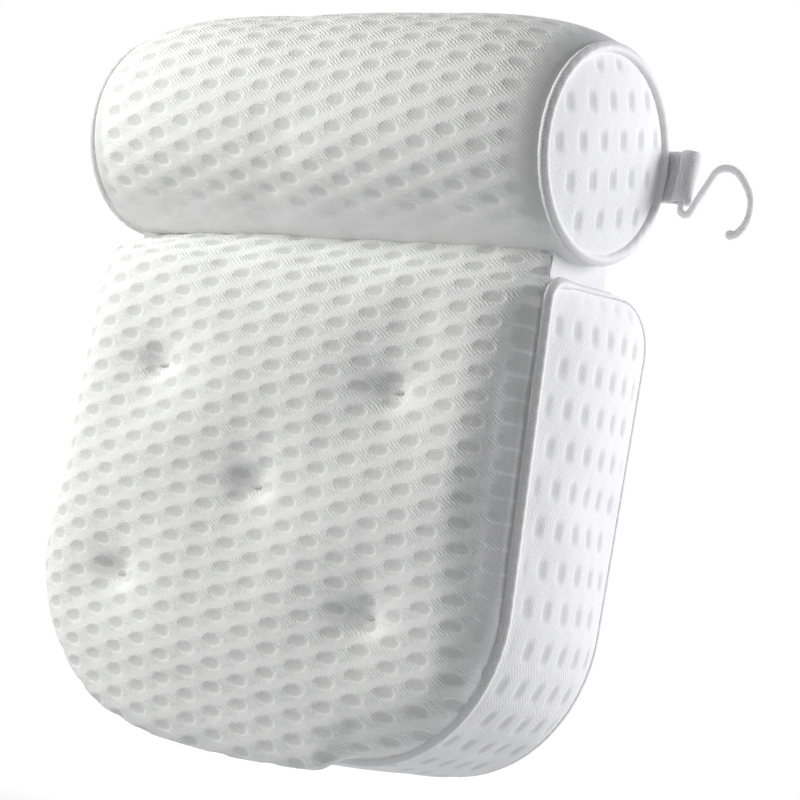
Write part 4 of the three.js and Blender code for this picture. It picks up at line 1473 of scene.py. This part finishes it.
@dataclass
class NeckFabric:
    """Mesh web between the pad's top and the roll's underside, which bends as the roll folds."""

    pad: PadForm
    roll: RollForm
    left: float = -0.1460
    right: float = 0.1500
    front: float = -0.1085
    skew: float = -0.027
    rear: float = -0.0622
    waist: float = 0.0008
    sink: float = 0.002
    pleat: float = 0.0004
    pleat_pitch: float = 0.009
    end_fade: float = 0.012
    stitch: float = 0.4
    rows: int = 14
    columns: int = 170
    lattice: HollowLattice = HollowLattice(origin=(0.004, 0.006))

    def section(self, x: Array) -> tuple[Array, Array]:
        """Loop round the web at places along it: front wall down, base back, rear wall up, top forward.

        The front wall runs slightly askew, as the panel's top edge does.

        Args:
            x: Places along the web, one row.

        Returns:
            Y and Z, one row for each point of the loop.
        """
        share = np.linspace(0.0, 1.0, self.rows, endpoint=False)[:, None]
        pinch = self.waist * np.sin(math.pi * share)
        front, rear = self.front + self.skew * x, self.rear + 0.0 * x
        depth = front + (rear - front) * share
        back = depth[::-1] + (rear - front) / self.rows

        def wall(y: Array, rise: Array) -> Array:
            """Heights on a wall from the pad's top, at 0, to the roll's underside, at 1."""
            low, high = self.pad.top_z(y) - self.sink, self.roll.under(x, y) + self.sink
            return low + (high - low) * rise

        y = np.concatenate([front + pinch, depth, rear - pinch, back])
        base, top = self.pad.top_z(depth) - self.sink, self.roll.under(x, back) + self.sink
        return y, np.concatenate([wall(front, 1.0 - share), base, wall(rear, share), top])

    def build(self) -> None:
        """Makes the web: its loop carried along X, gathered in small pleats, with flat ends."""
        x = np.linspace(self.left, self.right, self.columns)[None, :]
        y, z = self.section(x)
        points = np.stack([np.broadcast_to(x, y.shape), y, z], axis=2)
        around = lengths(np.concatenate([points, points[:1]]))
        weave = self.lattice.weave(np.broadcast_to(x, around.shape), around)
        inner = smooth(0.0, self.end_fade, np.minimum(x - self.left, self.right - x))
        hollow = self.lattice.hollow(weave[:-1]) * inner
        pleat = self.pleat * np.sin(FULL_TURN * x / self.pleat_pitch + 1.3 * np.sin(x * 61.0)) * inner
        points = sunk(points, self.lattice.depth * hollow - pleat, closed=True)
        web = mesh_object("neck_web", [Surface(points, weave, hollow, self.stitch, closed=True)])
        finish_piece(web, Slot.SPACER_MESH, None, ["neck"])
        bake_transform(web)


# The hanging hook

@dataclass(frozen=True)
class LoopForm:
    """Where the webbing loop leaves the roll and where its bar runs."""

    root: Triple = (0.1606, -0.039, 0.2015)
    reach: float = 0.011
    width: float = 0.028
    ply: float = 0.0016
    slack: float = 0.0019
    wire: float = 0.0020

    @property
    def bar(self) -> float:
        """X of the bar in the loop."""
        return self.root[0] + self.reach


@dataclass
class HookLoop:
    """Tape folded round the hook's bar and sewn to the roll's end."""

    form: LoopForm
    tuck: float = 0.003
    gap: float = 0.00012
    throat: float = 0.12
    sag: float = 0.0006
    rows: int = 44
    steps: int = 120

    def build(self) -> None:
        """Makes the loop: out along one ply, round the bar and back, offset to both faces of the tape."""
        form = self.form
        half = 0.5 * form.ply
        wrap, leg = form.wire + form.slack + half, half + self.gap
        throat = math.asin(leg / wrap)
        out = np.linspace(form.root[0] - self.tuck, form.bar - wrap * math.cos(throat) - 0.001, 14)
        turn = np.linspace(math.pi - throat - self.throat, -math.pi + throat + self.throat, 40)
        first = np.stack([out, 0.0 * out + leg, 0.0 * out], axis=1)
        bend = np.stack([form.bar + wrap * np.cos(turn), wrap * np.sin(turn), 0.0 * turn], axis=1)
        line = np.concatenate([first, bend, first[::-1] * [1.0, -1.0, 1.0]])
        line = resample(line, np.linspace(0.0, 1.0, self.steps))[:, :2]
        run = unit(np.gradient(line, axis=0))
        side = np.stack([-run[:, 1], run[:, 0]], axis=1)[:, None, :]
        across = np.linspace(-1.0, 1.0, self.rows)
        edge = (half * (1.0 - np.abs(across) ** 16) ** 0.5 + 0.00005)[None, :, None]
        ring = np.concatenate([line[:, None, :] + side * edge, (line[:, None, :] - side * edge)[::-1]])
        z = np.broadcast_to(form.root[2] + 0.5 * form.width * across, ring.shape[:2])
        y = form.root[1] + ring[..., 1] + self.sag * np.sin(across * 2.2 + 0.6)
        points = np.stack([ring[..., 0], y, z], axis=2)
        along = np.concatenate([lengths(line), lengths(line)[::-1], [0.0]])
        weave = np.stack(np.meshgrid(0.5 * form.width * across, along)[::-1], axis=2)
        loop = mesh_object("hook_loop_tape", [Surface(points[:, ::-1], weave[:, ::-1], closed=True)])
        finish_piece(loop, Slot.WEBBING, "hook_loop", ["hook_webbing"])


@dataclass
class WireHook:
    """Coated wire hook: a stem inside the loop, a turn below it and a hook that opens downwards."""

    form: LoopForm
    turn: float = 0.0033
    reach: float = 0.042
    rise: float = 0.0061
    fall: float = 0.0292
    ball: float = 0.0026
    stem_ball: float = 0.0027
    stem_room: float = 0.0006
    foot_room: float = 0.0003
    steps: int = 320
    ball_steps: int = 14
    sides: int = 20

    def knots(self) -> Array:
        """Points of the wire's middle line, from the stem's top to the hook's tip."""
        half, turn, reach, rise, fall = 0.5 * self.form.width, self.turn, self.reach, self.rise, self.fall
        top, foot = half - self.stem_ball - self.stem_room, -half - self.foot_room - self.form.wire
        place = np.array([
            [0.0, top], [0.0, 0.5 * top], [0.0, 0.0], [0.0, 0.5 * foot], [0.0, foot],
            [0.3 * turn, foot - 0.75 * turn], [turn, foot - turn], [1.85 * turn, foot - 0.55 * turn],
            [2.8 * turn, 0.7 * foot], [0.34 * reach, -0.25 * rise], [0.42 * reach, 0.7 * rise],
            [0.54 * reach, rise], [0.7 * reach, 0.72 * rise], [0.85 * reach, -0.22 * rise],
            [0.97 * reach, -0.31 * fall], [reach, -0.57 * fall], [0.96 * reach, -0.81 * fall],
            [0.87 * reach, -0.97 * fall], [0.78 * reach, -fall],
        ])
        depth = np.full(len(place), self.form.root[1])
        return np.stack([self.form.bar + place[:, 0], depth, self.form.root[2] + place[:, 1]], axis=1)

    def build(self) -> None:
        """Makes the hook: a round wire along a spline, whose radius swells into a ball at each end."""
        knots = self.knots()
        path = spline_matrix(len(knots), self.steps, False) @ knots
        more = np.linspace(0.05, 0.999, self.ball_steps)[:, None] ** 0.7
        start = path[0] + unit(path[0] - path[1]) * self.stem_ball * more
        end = path[-1] + unit(path[-1] - path[-2]) * self.ball * more
        path = np.concatenate([start[::-1], path, end])
        first, last = (np.linalg.norm(path - knots[number], axis=1) for number in (0, -1))
        knob = np.sqrt(np.maximum(self.stem_ball ** 2 - first ** 2, self.ball ** 2 - last ** 2).clip(1e-10))
        radius = np.where(steps_in(len(path)) < self.ball_steps, knob, np.maximum(self.form.wire, knob))
        guide = np.broadcast_to(FORWARD, path.shape)
        wire = mesh_object("wire_hook", [tube(path, guide, radius[None, :], self.sides)])
        finish_piece(wire, Slot.WHITE_PLASTIC, "hook", ["hook"])


# The suction cups

@dataclass
class SuctionCups:
    """Clear vinyl cups with mushroom heads and pull tabs, each turning in its eyelet."""

    sites: Sites
    radius: float = 0.030
    hollow: float = 0.008
    dome: float = 0.0126
    neck: float = 0.0058
    column: float = 0.008
    head: float = 0.0085
    shoulder: float = -0.0162
    head_seat: float = -0.0238
    head_end: float = -0.0278
    middle: float = 0.0002
    tab_half: float = 0.006
    tab_drop: float = 0.003
    tab_thickness: float = 0.0012

    def cup(self, site: Pair) -> Surface:
        """Cup: a profile from the head's middle, by the neck and the dome, round the rim to the hollow."""
        radius, dome, hollow = self.radius, self.dome, self.hollow
        outside = np.array([
            [self.middle, self.head_end], [self.neck * 0.6, self.head_end],
            [self.head, self.head_seat - 0.0016], [self.head, self.head_seat],
            [self.neck, self.head_seat], [self.neck, self.shoulder],
            [self.column, self.shoulder], [self.column, -dome], [radius * 0.45, -dome * 0.83],
            [radius * 0.78, -dome * 0.46], [radius, -0.0012], [radius, 0.0], [radius - 0.004, 0.0],
            [radius * 0.68, -hollow * 0.52], [radius * 0.4, -hollow * 0.88], [self.middle, -hollow],
        ])
        return lathe(rounded(outside), site, 72)

    def tab(self, site: Pair) -> Surface:
        """Pull tab: a superellipse below the rim, scaled along a rounded edge from back to front."""
        turn = turns(64)[:-1]
        c, s = np.cos(turn), np.sin(turn)
        size = self.tab_half * (np.abs(c) ** 4 + np.abs(s) ** 4) ** -0.25
        edge = np.linspace(0.0, math.pi, 13)
        scale = np.concatenate([[0.02, 0.6], 1.0 - 0.07 * (1.0 - np.sin(edge)), [0.6, 0.02]])[None, :]
        front, round_edge = [-self.tab_thickness] * 2, -0.5 * self.tab_thickness * (1.0 + np.cos(edge))
        x = site[0] + size * c * scale
        y = np.broadcast_to(np.concatenate([front, round_edge, [0.0, 0.0]])[None, :], x.shape)
        z = site[1] - self.radius - self.tab_drop + size * s * scale
        return Surface(np.stack([x, y, z], axis=2), closed=True)

    def build(self) -> None:
        """Makes every cup with its tab."""
        for number, site in enumerate(self.sites, start=1):
            cup = mesh_object(f"vinyl_cup_{number}", [self.cup(site), self.tab(site)], SHARP_PLASTIC)
            finish_piece(cup, Slot.CLEAR_VINYL, f"cup_{number}", [f"suction_cup_{number}"])


@dataclass
class Eyelets:
    """White plastic eyelets clamped through the back panel."""

    sites: Sites
    bore: float = 0.0063
    flange: float = 0.0105
    wall: float = 0.008
    front: float = -0.0223
    back: float = -0.0177
    lip: float = 0.0012

    def build(self) -> None:
        """Makes every eyelet: a spool-shaped closed profile with rounded lips turned round its axis."""
        first, last = self.front - self.lip, self.back + self.lip
        spool = np.array([
            [self.bore, first], [self.flange, first], [self.flange, self.front], [self.wall, self.front],
            [self.wall, self.back], [self.flange, self.back], [self.flange, last], [self.bore, last],
        ])
        for number, site in enumerate(self.sites, start=1):
            ring = lathe(rounded(spool, closed=True), site, 56, ring=True)
            eyelet = mesh_object(f"back_eyelet_{number}", [ring], SHARP_PLASTIC)
            finish_piece(eyelet, Slot.WHITE_PLASTIC, "pad", [f"eyelet_{number}"])


# The studio

def way_out(azimuth: float, elevation: float) -> Vector:
    """Unit vector from the pillow to an azimuth from the front and an elevation, both in degrees."""
    az, el = math.radians(azimuth), math.radians(elevation)
    return Vector((math.sin(az) * math.cos(el), -math.cos(az) * math.cos(el), math.sin(el)))


@dataclass(frozen=True)
class Lamp:
    """A soft square light that looks at the pillow from an azimuth and an elevation."""

    name: str
    azimuth: float
    elevation: float
    distance: float
    size: float
    power: float
    colour: Triple

    def build(self, target: Vector) -> None:
        """Makes the light."""
        away = way_out(self.azimuth, self.elevation)
        data = bpy.data.lights.new(self.name, "AREA")
        data.size, data.energy, data.color = self.size, self.power, self.colour
        lamp = bpy.data.objects.new(self.name, data)
        lamp.location = target + away * self.distance
        lamp.rotation_euler = away.to_track_quat("Z", "Y").to_euler()
        bpy.context.scene.collection.objects.link(lamp)


@dataclass
class Studio:
    """White floor, soft lights and the camera of the photograph."""

    camera_place: Triple = (0.89093, -1.13092, -0.09505)
    azimuth: float = 38.796
    elevation: float = -6.613
    roll: float = math.radians(11.818)
    lens: float = 113.89
    sensor: float = 36.0
    clip: Pair = (0.05, 50.0)
    floor_height: float = -0.33
    floor_reach: float = 12.0
    floor_colours: tuple[Colour, Colour] = ((0.66, 0.66, 0.66, 1.0), (0.68, 0.68, 0.68, 1.0))
    white: Colour = (1.0, 1.0, 1.0, 1.0)
    ambient: float = 0.19
    target: Triple = (0.0, -0.09, 0.06)
    lamps: tuple[Lamp, ...] = (
        Lamp("key_light", -50.0, 24.0, 1.0, 0.6, 10.5, (0.995, 1.0, 0.985)),
        Lamp("side_light", 124.0, 20.0, 1.2, 0.7, 12.6, (0.95, 0.945, 1.0)),
    )

    def camera(self) -> None:
        """Makes the camera with its own axes: right, up and back, rolled about its line of sight."""
        az, back = math.radians(self.azimuth), way_out(self.azimuth, self.elevation)
        level = Vector((math.cos(az), math.sin(az), 0.0))
        right = level * math.cos(self.roll) + back.cross(level) * math.sin(self.roll)
        data = bpy.data.cameras.new("photo_camera")
        data.lens, data.sensor_width, data.sensor_fit = self.lens, self.sensor, "HORIZONTAL"
        data.clip_start, data.clip_end = self.clip
        camera = bpy.data.objects.new("photo_camera", data)
        turn = Matrix((right, back.cross(right), back)).transposed().to_4x4()
        camera.matrix_world = Matrix.Translation(self.camera_place) @ turn
        bpy.context.scene.collection.objects.link(camera)
        bpy.context.scene.camera = camera

    def seen(self, nodes: Nodes) -> Value:
        """1 for rays from the camera, from a mirror or through clear plastic, else 0."""
        path = nodes.node("ShaderNodeLightPath")
        camera, glossy, through = (
            Value(nodes, path.outputs[f"Is {kind} Ray"]) for kind in ("Camera", "Glossy", "Transmission"))
        return nodes.sum("MINIMUM", camera + glossy + through, 1.0)

    def world(self) -> None:
        """Makes the world, which gives an even light and is seen as white."""
        world = bpy.data.worlds.new("studio")
        world.use_nodes = True
        nodes = Nodes(world.node_tree)
        ground = world.node_tree.nodes["Background"]
        nodes.put(ground.inputs["Color"], self.white)
        nodes.put(ground.inputs["Strength"], self.seen(nodes) * (1.0 - self.ambient) + self.ambient)
        bpy.context.scene.world = world

    def floor(self) -> None:
        """Makes a round floor whose own white shows to the camera and which keeps the pillow's shadow."""
        turn, reach = turns(96)[:-1], np.linspace(0.002, self.floor_reach, 24)[None, :]
        x, y = reach * np.cos(turn), reach * np.sin(turn)
        flat = np.stack([x, y, 0.0 * x + self.floor_height], axis=2)
        floor = mesh_object("floor", [Surface(flat, closed=True, cap=Cap.NONE)])
        shader = Shader("floor_white")
        grain = shader.noise(3.0).ramp(0.3, 0.7)
        span = shader.node("ShaderNodeVectorMath", {"operation": "LENGTH"}, Vector=shader.place())
        away = Value(shader, span.outputs["Value"])
        shader.fix(
            Base_Color=shader.mix(grain, *self.floor_colours), Roughness=0.9, Specular_IOR_Level=0.1,
            Emission_Color=self.white, Emission_Strength=self.seen(shader) * away.ramp(1.0, 3.5, 0.6, 1.0))
        floor.data.materials.append(shader.material)

    def build(self) -> None:
        """Makes the camera, the floor, the world and the lights."""
        self.camera()
        self.floor()
        self.world()
        for lamp in self.lamps:
            lamp.build(Vector(self.target))
        bpy.context.scene.view_settings.view_transform = "Standard"


def plain(box: object) -> list[list[float]]:
    """A box as plain lists of numbers."""
    return [[float(value) for value in corner] for corner in box]


def middle_of(node: str) -> Pair:
    """X and Z of the middle of a solid's box."""
    low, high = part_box(node)
    return 0.5 * float(low[0] + high[0]), 0.5 * float(low[2] + high[2])


def main() -> None:
    """Builds the pillow and its studio."""
    logging.basicConfig(level=logging.INFO, format="%(message)s")
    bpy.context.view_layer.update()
    pad, roll, loop = PadForm(), RollForm(), LoopForm()
    cups = tuple(middle_of(f"eyelet_{number}") for number in range(1, 8))
    Studio().build()
    TuftTies().build(PadFront(pad).build())
    SideStrip(pad).build()
    piping = PadPiping(pad)
    piping.build()
    PadTop(pad).build()
    PadBack(pad, cups).build()
    NeckRoll(roll).build()
    RollEnds(roll, piping).build()
    NeckFabric(pad, roll).build()
    HookLoop(loop).build()
    WireHook(loop).build()
    SuctionCups(cups).build()
    Eyelets(cups).build()
    for core in ("pad_core", "roll_core"):
        Slot.FOAM.wear(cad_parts[core])


if __name__ == "__main__":
    main()
